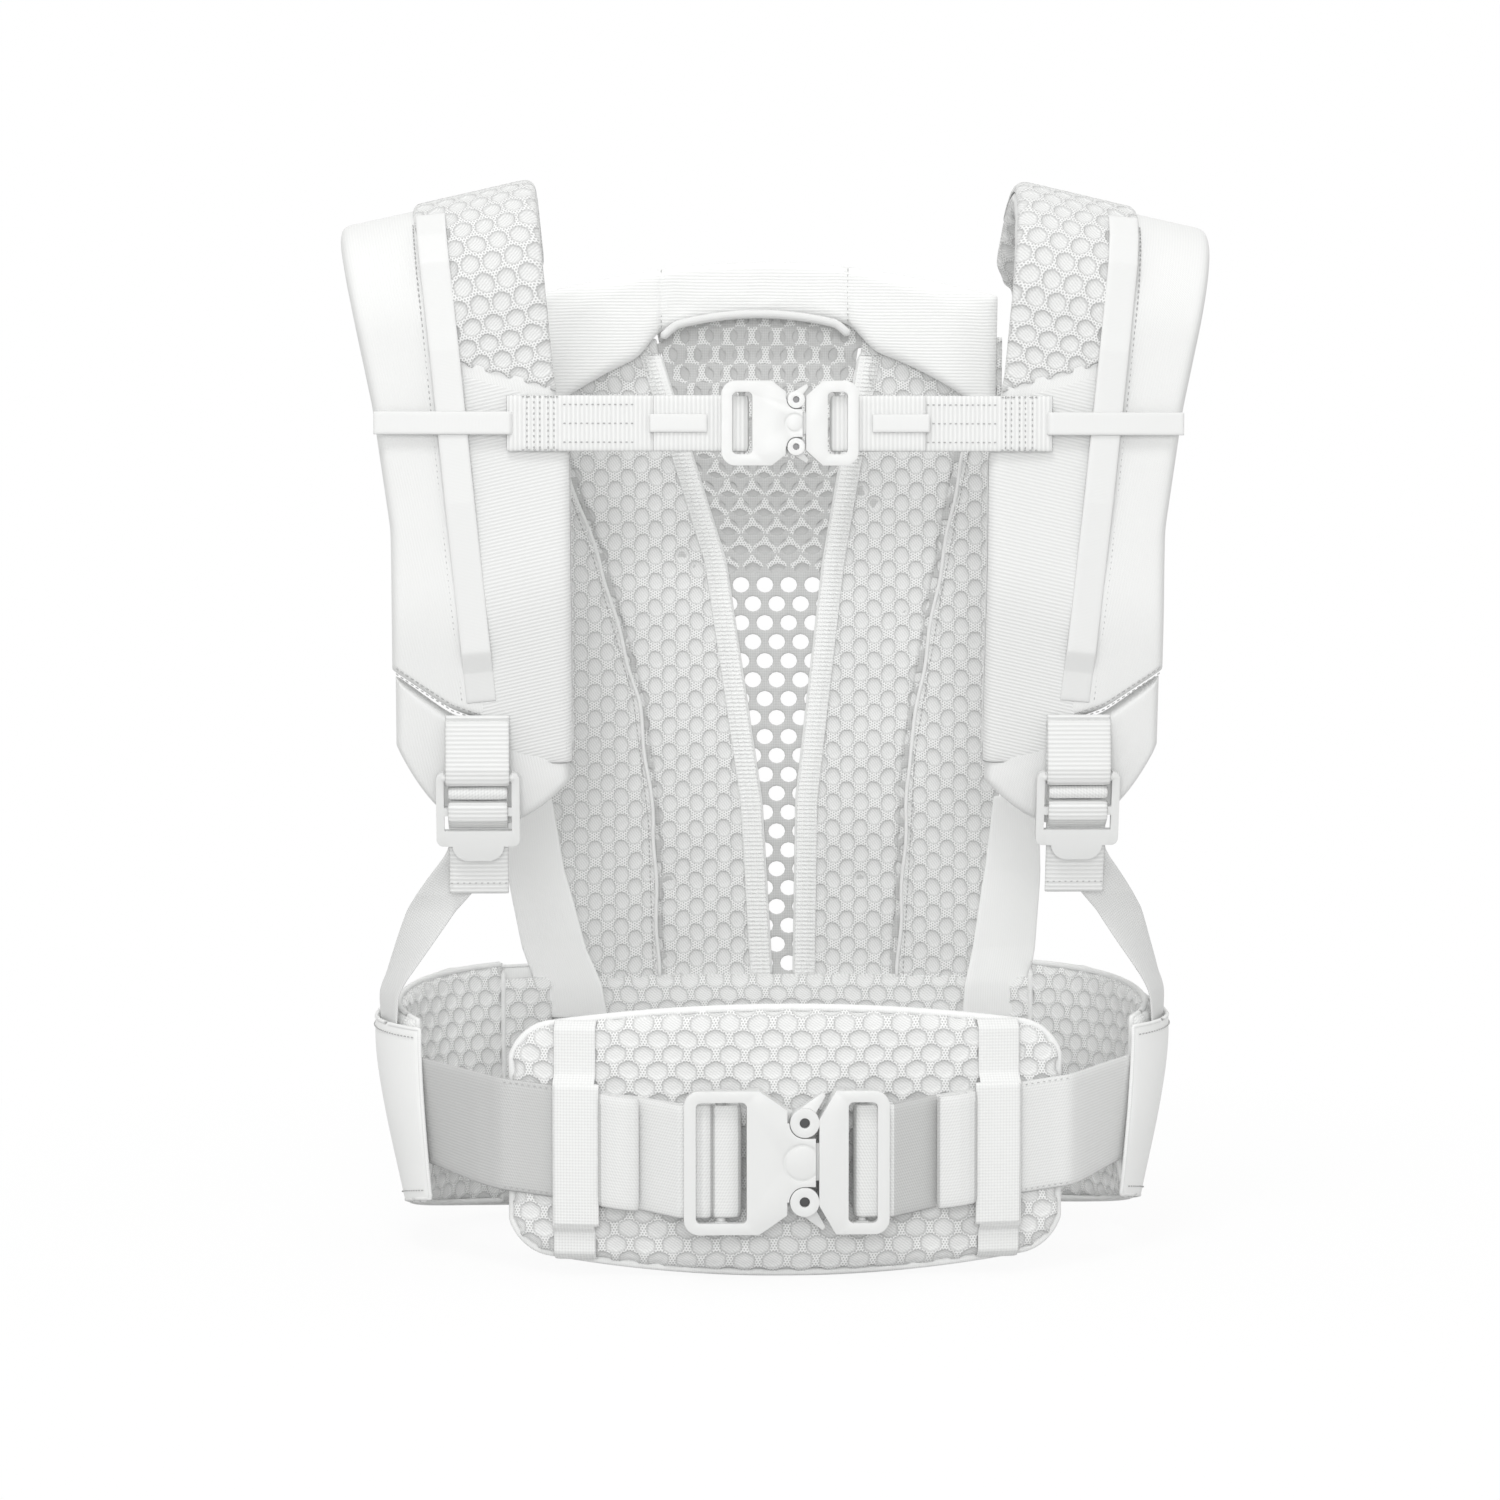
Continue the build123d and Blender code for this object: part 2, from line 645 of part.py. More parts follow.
# ---------- baby panel ----------
panel_low = belt_front_height + gap
flap_inset = net_inset + net_thickness + gap
v_gap = ((panel_top - 20, 48.0), (305.0, 23.5), (192.0, 8.5), (panel_low, 6.0))
flap_edge = ((panel_top - 20, panel_half_width_top), (190.0, panel_half_width_low), (panel_low, 88.0))


def panel_piece(label, inset, thickness, outline):
    """Layer of the panel with its outline given from the wearer's side."""
    with BuildPart() as piece:
        with BuildSketch():
            add(panel_layer(inset, thickness))
        extrude(amount=2 * panel_top)
        with BuildSketch(Plane.XZ):
            with BuildLine():
                Polyline(*outline, close=True)
            make_face()
        extrude(amount=2 * belt_half_depth, both=True, mode=Mode.INTERSECT)
    save(piece.part, label)


def mirrored(points):
    return [(-x, z) for x, z in reversed(points)]


half_net = [(0, panel_low), (88.0, panel_low), (panel_half_width_low, 190.0),
            (panel_half_width_top, panel_top), (0, panel_top)]
panel_piece("panel_net", net_inset, net_thickness, [*half_net, *mirrored(half_net[1:-1])])
for side, sign in (("left", -1), ("right", 1)):
    panel_piece(
        f"panel_flap_{side}", flap_inset, flap_thickness,
        [(sign * x, z) for z, x in v_gap] + [(sign * x, z) for z, x in reversed(flap_edge)],
    )
    # smooth bands that carry the panel down to the belt
    panel_piece(
        f"side_band_{side}", flap_inset + flap_thickness + gap, side_band_thickness,
        [(sign * side_band_inner[0], side_band_corner), (sign * side_band_inner[1], panel_low),
         (sign * side_band_outer, panel_low), (sign * (panel_half_width_low + 2), side_band_bend),
         (sign * (panel_half_width_low + 4), side_band_top)],
    )

doubler_low = [(22.5, 306.0), (0, 300.0), (-22.5, 306.0)]
# second layer of mesh over the upper part of the opening between the flaps
panel_piece(
    "panel_doubler", flap_inset, net_thickness,
    [(head_seam_x, panel_top), *doubler_low, (-head_seam_x, panel_top)],
)


# ---------- head support ----------
def head_piece(label, inset, thickness, low_mid, low_end, top_mid, top_end, half_width):
    with BuildPart() as piece:
        with BuildSketch():
            add(panel_layer(inset, thickness))
        extrude(amount=2 * panel_top)
        with BuildSketch(Plane.XZ):
            with BuildLine():
                ThreePointArc((-half_width, top_end), (0, top_mid), (half_width, top_end))
                Line((half_width, top_end), (half_width, low_end))
                ThreePointArc((half_width, low_end), (0, low_mid), (-half_width, low_end))
                Line((-half_width, low_end), (-half_width, top_end))
            make_face()
        extrude(amount=2 * belt_half_depth, both=True, mode=Mode.INTERSECT)
    save(piece.part, label)


head_inset = flap_inset + flap_thickness + gap
head_foam = head_thickness - head_inset - head_face_thickness
head_piece("head_support_foam", head_inset, head_foam, head_low_mid, head_low_end,
           head_top_mid, head_top_end, panel_half_width_top)
head_piece("head_support_face", head_inset + head_foam + gap, head_face_thickness, head_low_mid,
           head_low_end, head_top_mid, head_top_end, panel_half_width_top)
# rolled edge along the lower side of the head support's middle
piping_low = head_low_mid - piping_height / 2 + gap
head_piece("head_support_piping", head_inset + head_foam + head_face_thickness + 2 * gap,
           piping_thickness, piping_low, piping_low - piping_fall, piping_low + piping_height,
           piping_low + piping_height - piping_fall, head_seam_x + piping_reach)


# ---------- shoulder straps ----------
strap_half = strap_thickness / 2
tilt = radians(strap_leg_tilt)
start_y = -strap_front + strap_low_radius * (1 - cos(tilt)) + strap_low_run * sin(tilt)
start_z = -strap_low_radius * sin(tilt) - strap_low_run * cos(tilt)


def strap_line(outward):
    """Side line of a strap, `outward` of its middle: up the back, over the shoulder, down the front."""
    first = Line(
        (start_y - outward * cos(tilt), start_z - outward * sin(tilt)),
        (start_y - outward * cos(tilt) - strap_low_run * sin(tilt),
         start_z - outward * sin(tilt) + strap_low_run * cos(tilt)),
    )
    turn = JernArc(first @ 1, first % 1, strap_low_radius + outward, -strap_leg_tilt)
    rise = Line(turn @ 1, turn @ 1 + turn % 1 * strap_straight_run)
    arch = JernArc(rise @ 1, rise % 1, strap_arch_radius + outward, -135)
    fall = Line(arch @ 1, arch @ 1 + arch % 1 * strap_far_run)
    under = JernArc(fall @ 1, fall % 1, strap_far_radius + outward, -45)
    Line(under @ 1, under @ 1 + under % 1 * strap_far_end)


def strap_layer(sign, outward, thickness, outline):
    """Layer of a strap whose outer face lies `outward` of its middle, cut to an outline."""
    lean = radians(strap_lean)
    side_plane = Plane(
        origin=(sign * strap_spacing, 0, strap_turn_z), x_dir=(0, 1, 0),
        z_dir=(cos(lean), 0, -sign * sin(lean)),
    )
    with BuildPart() as layer:
        with BuildSketch(side_plane):
            with BuildLine():
                strap_line(outward - thickness / 2)
            trace(line_width=thickness)
        extrude(amount=strap_spacing / 2, both=True)
        with BuildSketch(Plane.XZ):
            add(outline)
        extrude(amount=2 * belt_half_depth, both=True, mode=Mode.INTERSECT)
    return layer.part


def strap_outline(sign):
    with BuildSketch() as shape:
        with BuildLine():
            inner = [p for p in strap_inner if p[1] > seam_low[0][1]]
            outer = [p for p in strap_outer if p[1] > seam_low[-1][1]]
            Polyline(*[(sign * x, z) for x, z in (*seam_low, *outer, *reversed(inner))], close=True)
        make_face()
    return shape.sketch


def end_outline(sign):
    (inner_x, inner_z), (mid_x, mid_z), (outer_x, outer_z) = seam_low
    tip = [(sign * x, z) for x, z in end_tip]
    with BuildSketch() as shape:
        with BuildLine():
            Polyline(
                (sign * inner_x, inner_z - gap), (sign * mid_x, mid_z - gap),
                (sign * outer_x, outer_z - gap), tip[0],
            )
            ThreePointArc(*tip)
            Line(tip[2], (sign * inner_x, inner_z - gap))
        make_face()
    return shape.sketch


def rail_outline(sign):
    run = Vector(rail_top[0] - rail_bottom[0], rail_top[1] - rail_bottom[1])
    across = Vector(run.Y, -run.X).normalized() * rail_width / 2
    corners = [Vector(*rail_bottom) - across, Vector(*rail_bottom) + across,
               Vector(*rail_top) + across, Vector(*rail_top) - across]
    with BuildSketch() as shape:
        with BuildLine():
            Polyline(*[(sign * p.X, p.Y) for p in corners], close=True)
        make_face()
    return shape.sketch


def rail_window(sign):
    """Stretch where the tape rail stands free of the strap."""
    with BuildSketch() as shape:
        with Locations((sign * strap_spacing, rail_bottom[1] + rail_sewn)):
            Rectangle(
                strap_spacing, rail_top[1] - rail_bottom[1] - 2 * rail_sewn,
                align=(Align.CENTER, Align.MIN),
            )
    return shape.sketch


slider_low = strap_face_y - 0.4
slider_front = strap_face_y - rail_stand_off - rail_thickness - 0.4 - slider_plate
for side, sign in (("left", -1), ("right", 1)):
    outline = strap_outline(sign)
    stack = (
        ("face", strap_half, strap_face_thickness),
        ("foam", strap_half - strap_face_thickness - gap, strap_foam_thickness),
        ("lining", strap_half - strap_face_thickness - strap_foam_thickness - 2 * gap,
         strap_lining_thickness),
    )
    for kind, outward, thickness in stack:
        with BuildPart() as layer:
            add(strap_layer(sign, outward, thickness, outline))
            # the front leg stops beside the head support
            with BuildSketch():
                with Locations((0, belt_half_depth / 6)):
                    Rectangle(
                        2 * (panel_half_width_top + gap), 2 * belt_half_depth,
                        align=(Align.CENTER, Align.MIN),
                    )
            extrude(amount=strap_turn_z + strap_straight_run, mode=Mode.SUBTRACT)
        save(layer.part, f"strap_{kind}_{side}")

    with BuildPart() as end:
        add(strap_layer(sign, strap_half, strap_thickness, end_outline(sign)))
        with BuildSketch():
            Rectangle(4 * belt_half_width, 2 * belt_half_depth, align=(Align.CENTER, Align.MIN))
        extrude(amount=2 * panel_top, mode=Mode.SUBTRACT)
    save(end.part, f"strap_end_{side}")

    # tape rail: sewn down at both ends, free of the strap between them
    with BuildPart() as rail:
        add(strap_layer(
            sign, strap_half + rail_stand_off + rail_thickness,
            rail_stand_off + rail_thickness - gap, rail_outline(sign),
        ))
        add(
            strap_layer(sign, strap_half + rail_stand_off, rail_stand_off + 1, rail_window(sign)),
            mode=Mode.SUBTRACT,
        )
        with BuildSketch():
            with Locations((0, -strap_arch_radius / 2)):
                Rectangle(4 * belt_half_width, 2 * belt_half_depth, align=(Align.CENTER, Align.MIN))
        extrude(amount=2 * panel_top, mode=Mode.SUBTRACT)
    save(rail.part, f"strap_rail_{side}")

    # slider: flat band across the strap with a plate behind the rail
    with BuildPart() as slider:
        with BuildSketch(Plane.XY.offset(chest_height - slider_height / 2)):
            with BuildLine():
                Polyline(
                    (sign * slider_out, slider_front + slider_plate), (sign * slider_out, slider_front),
                    (sign * slider_in, slider_front), (sign * slider_in, slider_low),
                    (sign * (window_out + 2), slider_low),
                    (sign * (window_out + 2), slider_front + slider_plate), close=True,
                )
            make_face()
            with Locations((sign * (window_out + window_in) / 2, (slider_low + slider_front) / 2)):
                Rectangle(
                    window_out - window_in, abs(slider_front - slider_low) - 2 * slider_plate,
                    mode=Mode.SUBTRACT,
                )
        extrude(amount=slider_height)
    save(slider.part, f"chest_slider_{side}")

    # chest webbing: from the slider, round the buckle's bar and back to its folded tail
    chest_y = chest_place.origin.Y - chest_buckle["bar_depth"]
    half_chest = chest_buckle["length"] / 2
    slot = chest_buckle["body_slot"] if sign < 0 else chest_buckle["latch_slot"]
    bar_x = chest_shift + sign * (half_chest - chest_buckle["wall"] - slot / 2)
    entry_x = chest_shift + sign * (half_chest + 1.5)
    turn = chest_buckle["bar"] + gap + web_thickness / 2
    tail_y = rail_y - web_thickness - gap
    tail_end = entry_x + sign * fold_length
    with BuildLine() as route:
        Polyline(
            (sign * (window_in + 0.5 + 0.3), rail_y), (entry_x + sign * 14, rail_y),
            (entry_x, chest_y + turn), (bar_x, chest_y + turn),
        )
        ThreePointArc((bar_x, chest_y + turn), (bar_x - sign * turn, chest_y), (bar_x, chest_y - turn))
        Polyline(
            (bar_x, chest_y - turn), (entry_x, chest_y - turn),
            (entry_x + sign * 4, tail_y), (tail_end, tail_y),
        )
    with BuildPart() as webbing:
        add(webbing_strip(
            route.line, sign * (window_in + 8), bar_x - sign * 10, chest_height, chest_web,
            level_from=entry_x,
        ))
        # notch that lets the slider's inner bar through the webbing's folded end
        with BuildSketch(Plane.XY.offset(chest_height - slider_height / 2 - gap)):
            with Locations((sign * (slider_in + window_in) / 2, rail_y)):
                Rectangle(window_in - slider_in + 2 * gap, 4 * web_thickness)
        extrude(amount=slider_height + 2 * gap, mode=Mode.SUBTRACT)
    save(webbing.part, f"chest_webbing_{side}")

    # narrow elastic that keeps the folded tail flat
    keeper_y = tail_y - web_thickness / 2 - gap
    with BuildPart() as keeper:
        with BuildSketch(Plane.XY.offset(chest_height - slider_height / 2 + 1)):
            keeper_start, keeper_end = entry_x + sign * 4, tail_end + sign * (gap + band_thickness)
            with Locations(((keeper_start + keeper_end) / 2, keeper_y - band_thickness / 2)):
                Rectangle(abs(keeper_end - keeper_start), band_thickness)
            with Locations((keeper_end - sign * band_thickness / 2, keeper_y - band_thickness)):
                Rectangle(
                    band_thickness, band_thickness + web_thickness + gap,
                    align=(Align.CENTER, Align.MIN),
                )
        extrude(amount=slider_height - 2)
    save(keeper.part, f"chest_keeper_{side}")


# ---------- ladder locks and their webbing ----------
# a lock hangs in front of the strap's end, in a plane parallel to the lower leg
lock_out = strap_half + lock_clearance + 2 * (gap + web_thickness) + lock_thickness / 2
tab_seat = strap_half - lock_out + tab_clearance + web_thickness / 2
lock_level = (lock_bar_z - strap_turn_z - start_z + lock_out * sin(tilt)) / cos(tilt)
lock_y = start_y - lock_level * sin(tilt) - lock_out * cos(tilt)
bar_gap = lock_bar_radius + gap + web_thickness / 2
tab_behind = -lock_thickness / 2 - gap - web_thickness / 2
adjuster_angle = radians(adjuster_degrees)
adjuster_radius = pocket_radius - (adjuster_web / 2) ** 2 / (2 * belt_end_radius)
for side, sign in (("left", -1), ("right", 1)):
    lock_face = Plane(
        origin=(sign * lock_x, lock_y, lock_bar_z), x_dir=(1, 0, 0), z_dir=(0, -cos(tilt), -sin(tilt))
    )
    # section plane through the lock's middle: x away from the wearer, y up
    lock_side = Plane(
        origin=lock_face.origin, x_dir=lock_face.z_dir, z_dir=lock_face.z_dir.cross(lock_face.y_dir)
    )
    inner = lock_width - 2 * lock_rail
    with BuildPart() as lock:
        with BuildSketch(lock_face.offset(-lock_thickness / 2)):
            with Locations((0, -lock_height / 2 + 6.0)):
                RectangleRounded(lock_width, lock_height - 7.0, 3.2)
            with Locations((0, -lock_height + 10)):
                SlotOverall(lock_width * 0.62, 14)
            for top, bottom in ((lock_bar_radius + 4, mid_bar + 1.8), (mid_bar - 1.8, low_bar + 2.4)):
                with Locations((0, (top + bottom) / 2)):
                    Rectangle(inner, top - bottom, mode=Mode.SUBTRACT)
        extrude(amount=lock_thickness)
        with BuildSketch(lock_side.offset(-inner / 2 - 1)):
            Circle(lock_bar_radius)
        extrude(amount=inner + 2)
    save(lock.part, f"ladder_lock_{side}")

    # short webbing from the strap's seam round the top bar
    with BuildPart() as tab:
        with BuildSketch(lock_side.offset(-adjuster_web / 2)):
            with BuildLine():
                Polyline((tab_seat + web_thickness + gap, tab_front), (bar_gap, 4), (bar_gap, 0))
                ThreePointArc((bar_gap, 0), (0, -bar_gap), (-bar_gap, 0))
                Polyline((-bar_gap, 0), (-bar_gap, 4), (tab_seat, tab_back - 12), (tab_seat, tab_back))
            trace(line_width=web_thickness)
        extrude(amount=adjuster_web, dir=lock_side.z_dir)
    save(tab.part, f"lock_tab_{side}")

    # the adjuster's free end: over the middle bar, behind the lower bar and down
    with BuildPart() as tail:
        with BuildSketch(lock_side.offset(-adjuster_web / 2 + 1)):
            with BuildLine():
                Polyline(
                    (tab_behind, mid_bar - 1), (tab_behind, mid_bar + 2.6), (0, mid_bar + 4.2),
                    (-tab_behind, mid_bar + 2.6), (-tab_behind, mid_bar - 3),
                    (tab_behind, low_bar + 3), (tab_behind, low_bar - tail_drop),
                )
            trace(line_width=web_thickness)
        extrude(amount=adjuster_web - 2, dir=lock_side.z_dir)
    save(tail.part, f"adjuster_tail_{side}")

    # long webbing down to the pocket of the belt wing, turned on edge as it goes
    main_w = tab_behind - web_thickness - gap
    pocket_turn = Plane(
        origin=(
            sign * (end_centre + adjuster_radius * cos(adjuster_angle)),
            -adjuster_radius * sin(adjuster_angle), belt_height - 2,
        ),
        x_dir=(sign * sin(adjuster_angle), cos(adjuster_angle), 0), z_dir=(0, 0, -1),
    )
    with BuildPart() as adjuster:
        start = Plane(
            origin=lock_face.from_local_coords((0, low_bar - 7, main_w)),
            x_dir=lock_face.x_dir, z_dir=-lock_face.y_dir,
        )
        middle = Plane(
            origin=(start.origin + pocket_turn.origin) / 2 + Vector(0, 0, 6),
            x_dir=(sign * 0.80, 0.60, 0), z_dir=(pocket_turn.origin - start.origin).normalized(),
        )
        for section in (start, middle, pocket_turn):
            with BuildSketch(section):
                Rectangle(adjuster_web - 2, web_thickness)
        loft(ruled=True)
        with BuildSketch(pocket_turn):
            Rectangle(adjuster_web - 2, web_thickness)
        extrude(amount=20)
        with BuildSketch(start):
            Rectangle(adjuster_web - 2, web_thickness)
        extrude(amount=-20)
    save(adjuster.part, f"adjuster_webbing_{side}")
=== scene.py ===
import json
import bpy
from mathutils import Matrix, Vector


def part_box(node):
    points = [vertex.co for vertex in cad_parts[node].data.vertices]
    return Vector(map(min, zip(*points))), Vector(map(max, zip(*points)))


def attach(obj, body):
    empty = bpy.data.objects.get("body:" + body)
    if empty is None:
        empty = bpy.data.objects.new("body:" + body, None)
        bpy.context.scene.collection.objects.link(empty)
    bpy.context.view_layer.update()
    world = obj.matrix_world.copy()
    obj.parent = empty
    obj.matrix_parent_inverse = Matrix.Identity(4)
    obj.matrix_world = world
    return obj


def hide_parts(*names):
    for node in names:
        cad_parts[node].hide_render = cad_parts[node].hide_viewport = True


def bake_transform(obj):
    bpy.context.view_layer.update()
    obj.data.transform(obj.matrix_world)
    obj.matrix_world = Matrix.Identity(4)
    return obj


bl_info = {
    "name": "Soft baby carrier",
    "version": (1, 0, 0),
    "blender": (4, 5, 0),
    "location": "3D View > Sidebar > Carrier",
    "description": "Sews the carrier's padded parts, mesh, webbing and buckles onto its frame",
    "category": "Add Mesh",
}

from math import ceil, cos, pi, radians, sin, sqrt, tan
from types import SimpleNamespace

import bmesh
import bpy
import numpy as np
from bpy.props import FloatProperty, FloatVectorProperty, PointerProperty
from mathutils import Matrix, Vector

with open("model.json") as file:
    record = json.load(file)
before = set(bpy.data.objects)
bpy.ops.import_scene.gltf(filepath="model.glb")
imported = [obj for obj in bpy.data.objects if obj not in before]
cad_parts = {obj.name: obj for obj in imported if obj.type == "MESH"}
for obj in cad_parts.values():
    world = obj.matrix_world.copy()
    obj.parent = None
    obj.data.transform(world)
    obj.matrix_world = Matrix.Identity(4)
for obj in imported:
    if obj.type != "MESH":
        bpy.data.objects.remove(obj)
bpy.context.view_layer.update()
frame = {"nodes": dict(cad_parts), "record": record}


def node_mm(node):
    """Lowest and highest corner of a frame node, in millimetres."""
    return [np.array(c) * 1000 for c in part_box(node)]


# ---------- lines of the frame, in millimetres ----------
BELT_DEPTH, END_RADIUS = 95.0, 72.0
BELT_WIDTH = node_mm("belt_wing_shell_right")[1][0]
BELT_HEIGHT = node_mm("belt_wing_shell_right")[1][2]
BELT_FRONT_HEIGHT = node_mm("belt_front_shell")[1][2]
SHIFT_Y = node_mm("belt_front_shell")[1][1] - BELT_DEPTH
END_CENTRE = BELT_WIDTH - END_RADIUS
REACH = BELT_DEPTH - END_RADIUS
SIDE_CENTRE = (END_CENTRE**2 - REACH**2) / (2 * REACH)
SIDE_RADIUS = SIDE_CENTRE + BELT_DEPTH
TURN = np.arctan2(END_CENTRE, SIDE_CENTRE)
PAD_LOW, PAD_HIGH = node_mm("lumbar_pad_face")
PAD_MIDDLE = (PAD_LOW[0] + PAD_HIGH[0]) / 2
PAD_HALF = (PAD_HIGH[0] - PAD_LOW[0]) / 2
PAD_HEIGHT = PAD_HIGH[2]
PAD_RADIUS, PAD_FRONT = 620.0, 95.0         # of the pad's curve, and from the belt's middle forward
PAD_RISE, PAD_CORNER = 10.5, 17.0           # bow of its edges, and radius of its corners
WEB, LOOSE = 1.6, 0.3                       # thickness of webbing, and room between it and a bar
SIDES = (("left", -1), ("right", 1))
MIRRORED = (("right", False), ("left", True))
FRONT = (0, -1, 0)
STRAP_HALF = 6.7                            # half a strap's thickness
STRAP_PUFF = STRAP_HALF - 0.3
STRAP_X, STRAP_FRONT, STRAP_TURN_Z = 131.0, 66.0, 300.0
LEAN, TILT = radians(13), radians(12)
# height and x of the straps' edges, and x and height of the lower seam and the tape rail
STRAP_INNER = ((200.0, 88.0), (350.0, 88.5), (385.0, 96.0), (490.0, 106.0))
STRAP_OUTER = ((200.0, 167.0), (319.0, 168.0), (371.0, 175.4), (490.0, 200.0))
SEAM_LOW = ((88.0, 222.0), (141.0, 240.0), (168.0, 258.0))
RAIL_TOP, RAIL_BOTTOM = (148.0, 446.0), (128.5, 246.0)


# ---------- sizes and colours that a user may change ----------
class CarrierSizes(bpy.types.PropertyGroup):
    cell_pitch: FloatProperty(
        name="Cell pitch", description="Distance between mesh cells along a row",
        default=0.0123, min=0.005, max=0.03, unit="LENGTH")
    cell_row: FloatProperty(
        name="Cell row", description="Distance between rows of mesh cells",
        default=0.0068, min=0.003, max=0.02, unit="LENGTH")
    cell_depth: FloatProperty(
        name="Cell depth", description="How deep a mesh cell lies under its walls",
        default=0.0010, min=0.0, max=0.003, unit="LENGTH")
    stitch_pitch: FloatProperty(
        name="Stitch pitch", description="Distance from one stitch to the next",
        default=0.0026, min=0.001, max=0.01, unit="LENGTH")
    edge_round: FloatProperty(
        name="Moulded edge", description="Rounding on the edges of moulded pieces",
        default=0.0007, min=0.0001, max=0.002, unit="LENGTH")
    puff: FloatProperty(
        name="Puff", description="Air pressure that fills the padded pieces",
        default=4.0, min=0.0, max=12.0)
    camera_distance: FloatProperty(
        name="Camera distance", description="Camera to the lumbar pad",
        default=1.55, min=0.5, max=6.0, unit="LENGTH")


class CarrierColours(bpy.types.PropertyGroup):
    cloth: FloatVectorProperty(
        name="Cloth", description="Smooth cloth of straps and belt",
        subtype="COLOR", size=3, default=(0.88, 0.885, 0.88), min=0, max=1)
    mesh: FloatVectorProperty(
        name="Mesh", description="Walls of the honeycomb mesh",
        subtype="COLOR", size=3, default=(0.87, 0.875, 0.87), min=0, max=1)
    webbing: FloatVectorProperty(
        name="Webbing", description="Woven webbing and tapes",
        subtype="COLOR", size=3, default=(0.80, 0.805, 0.80), min=0, max=1)
    plastic: FloatVectorProperty(
        name="Moulding", description="Moulded buckles and locks",
        subtype="COLOR", size=3, default=(0.72, 0.725, 0.72), min=0, max=1)
    metal: FloatVectorProperty(
        name="Metal", description="Pins and springs",
        subtype="COLOR", size=3, default=(0.70, 0.70, 0.71), min=0, max=1)
    floor: FloatVectorProperty(
        name="Floor", description="Floor and backdrop",
        subtype="COLOR", size=3, default=(0.95, 0.95, 0.95), min=0, max=1)


def sizes():
    return bpy.context.scene.carrier_sizes


def colours():
    return bpy.context.scene.carrier_colours


# ---------- materials ----------
class Nodes:
    """Short calls that add nodes to a tree and link them."""

    def __init__(self, tree):
        self.tree = tree

    def node(self, kind, *links, **settings):
        made = self.tree.nodes.new(kind)
        for key, value in settings.items():
            setattr(made, key, value)
        for socket, value in enumerate(links):
            if isinstance(value, bpy.types.NodeSocket):
                self.tree.links.new(value, made.inputs[socket])
            elif value is not None:
                made.inputs[socket].default_value = value
        return made

    def math(self, operation, *values):
        return self.node("ShaderNodeMath", *values, operation=operation).outputs[0]

    def vector(self, operation, *values):
        made = self.node("ShaderNodeVectorMath", *values, operation=operation)
        return made.outputs["Value" if operation in {"DOT_PRODUCT", "LENGTH"} else "Vector"]

    def ramp(self, value, low, high, start=0.0, end=1.0):
        made = self.node("ShaderNodeMapRange", value, low, high, start, end,
                         interpolation_type="SMOOTHSTEP")
        return made.outputs[0]

    def blend(self, amount, first, second):
        made = self.node("ShaderNodeMix", data_type="RGBA")
        self.tree.links.new(amount, made.inputs["Factor"])
        for socket, value in ((made.inputs["A"], first), (made.inputs["B"], second)):
            if isinstance(value, bpy.types.NodeSocket):
                self.tree.links.new(value, socket)
            else:
                socket.default_value = (*value, 1.0)
        return made.outputs["Result"]

    def stain(self, tone, mask, share, dark):
        """Mixes a darker tone in where the mask is bright."""
        return self.blend(self.math("MULTIPLY", mask, share), tone, dark)

    def white_to_camera(self, plain, white):
        """Shows one shader to camera, mirror and glass rays and another to the rest."""
        path = self.node("ShaderNodeLightPath")
        seen = path.outputs["Is Camera Ray"]
        for name in ("Is Glossy Ray", "Is Transmission Ray"):
            seen = self.math("MAXIMUM", seen, path.outputs[name])
        return self.node("ShaderNodeMixShader", seen, plain, white).outputs[0]


class Weave(Nodes):
    """A material under construction."""

    def __init__(self, name, rough, **finish):
        self.material = bpy.data.materials.new(name)
        self.material.use_nodes = True
        super().__init__(self.material.node_tree)
        self.shader = self.tree.nodes["Principled BSDF"]
        self.shader.inputs["Roughness"].default_value = rough
        for key, value in finish.items():
            self.shader.inputs[key].default_value = value

    def cloth_mm(self):
        """Place on the flat cloth, in millimetres."""
        uv = self.node("ShaderNodeUVMap", uv_map="cloth").outputs[0]
        return self.vector("MULTIPLY", uv, (100.0, 100.0, 100.0))

    def finish(self, colour, height, depth):
        self.tree.links.new(colour, self.shader.inputs["Base Color"])
        bump = self.node("ShaderNodeBump")
        bump.inputs["Strength"].default_value = 1.0
        bump.inputs["Distance"].default_value = depth
        self.tree.links.new(height, bump.inputs["Height"])
        self.tree.links.new(bump.outputs[0], self.shader.inputs["Normal"])
        return self.material


def shade(colour, factor):
    """The colour made lighter or darker, up to white."""
    return tuple(min(1.0, c * factor) for c in colour)


def made_once(build):
    """Keeps each material that is made, by its name."""
    def get(name, *args, **kwargs):
        return bpy.data.materials.get(name) or build(name, *args, **kwargs)
    return get


def mesh_pattern(kind):
    """Pitch, row, width and height of a mesh cell in millimetres, and if the mesh lies turned."""
    pitch, row = sizes().cell_pitch * 1000, sizes().cell_row * 1000
    return {
        "pad": (pitch, row, 0.74 * pitch, 1.12 * row, False),
        "strap": (0.77 * pitch, 1.17 * row, 0.64 * pitch, 1.05 * row, False),
        "panel": (pitch, 0.97 * row, 0.66 * pitch, 1.05 * row, True),
        "doubled": (0.97 * pitch, 1.26 * row, 0.70 * pitch, 1.20 * row, False),
    }[kind]


SLANT = 0.8660254      # height of a triangle with sides of 1
UNEVEN = ((0.37, 0.35), (0.29, 0.3))     # rate and reach of the mesh's unevenness along x and z


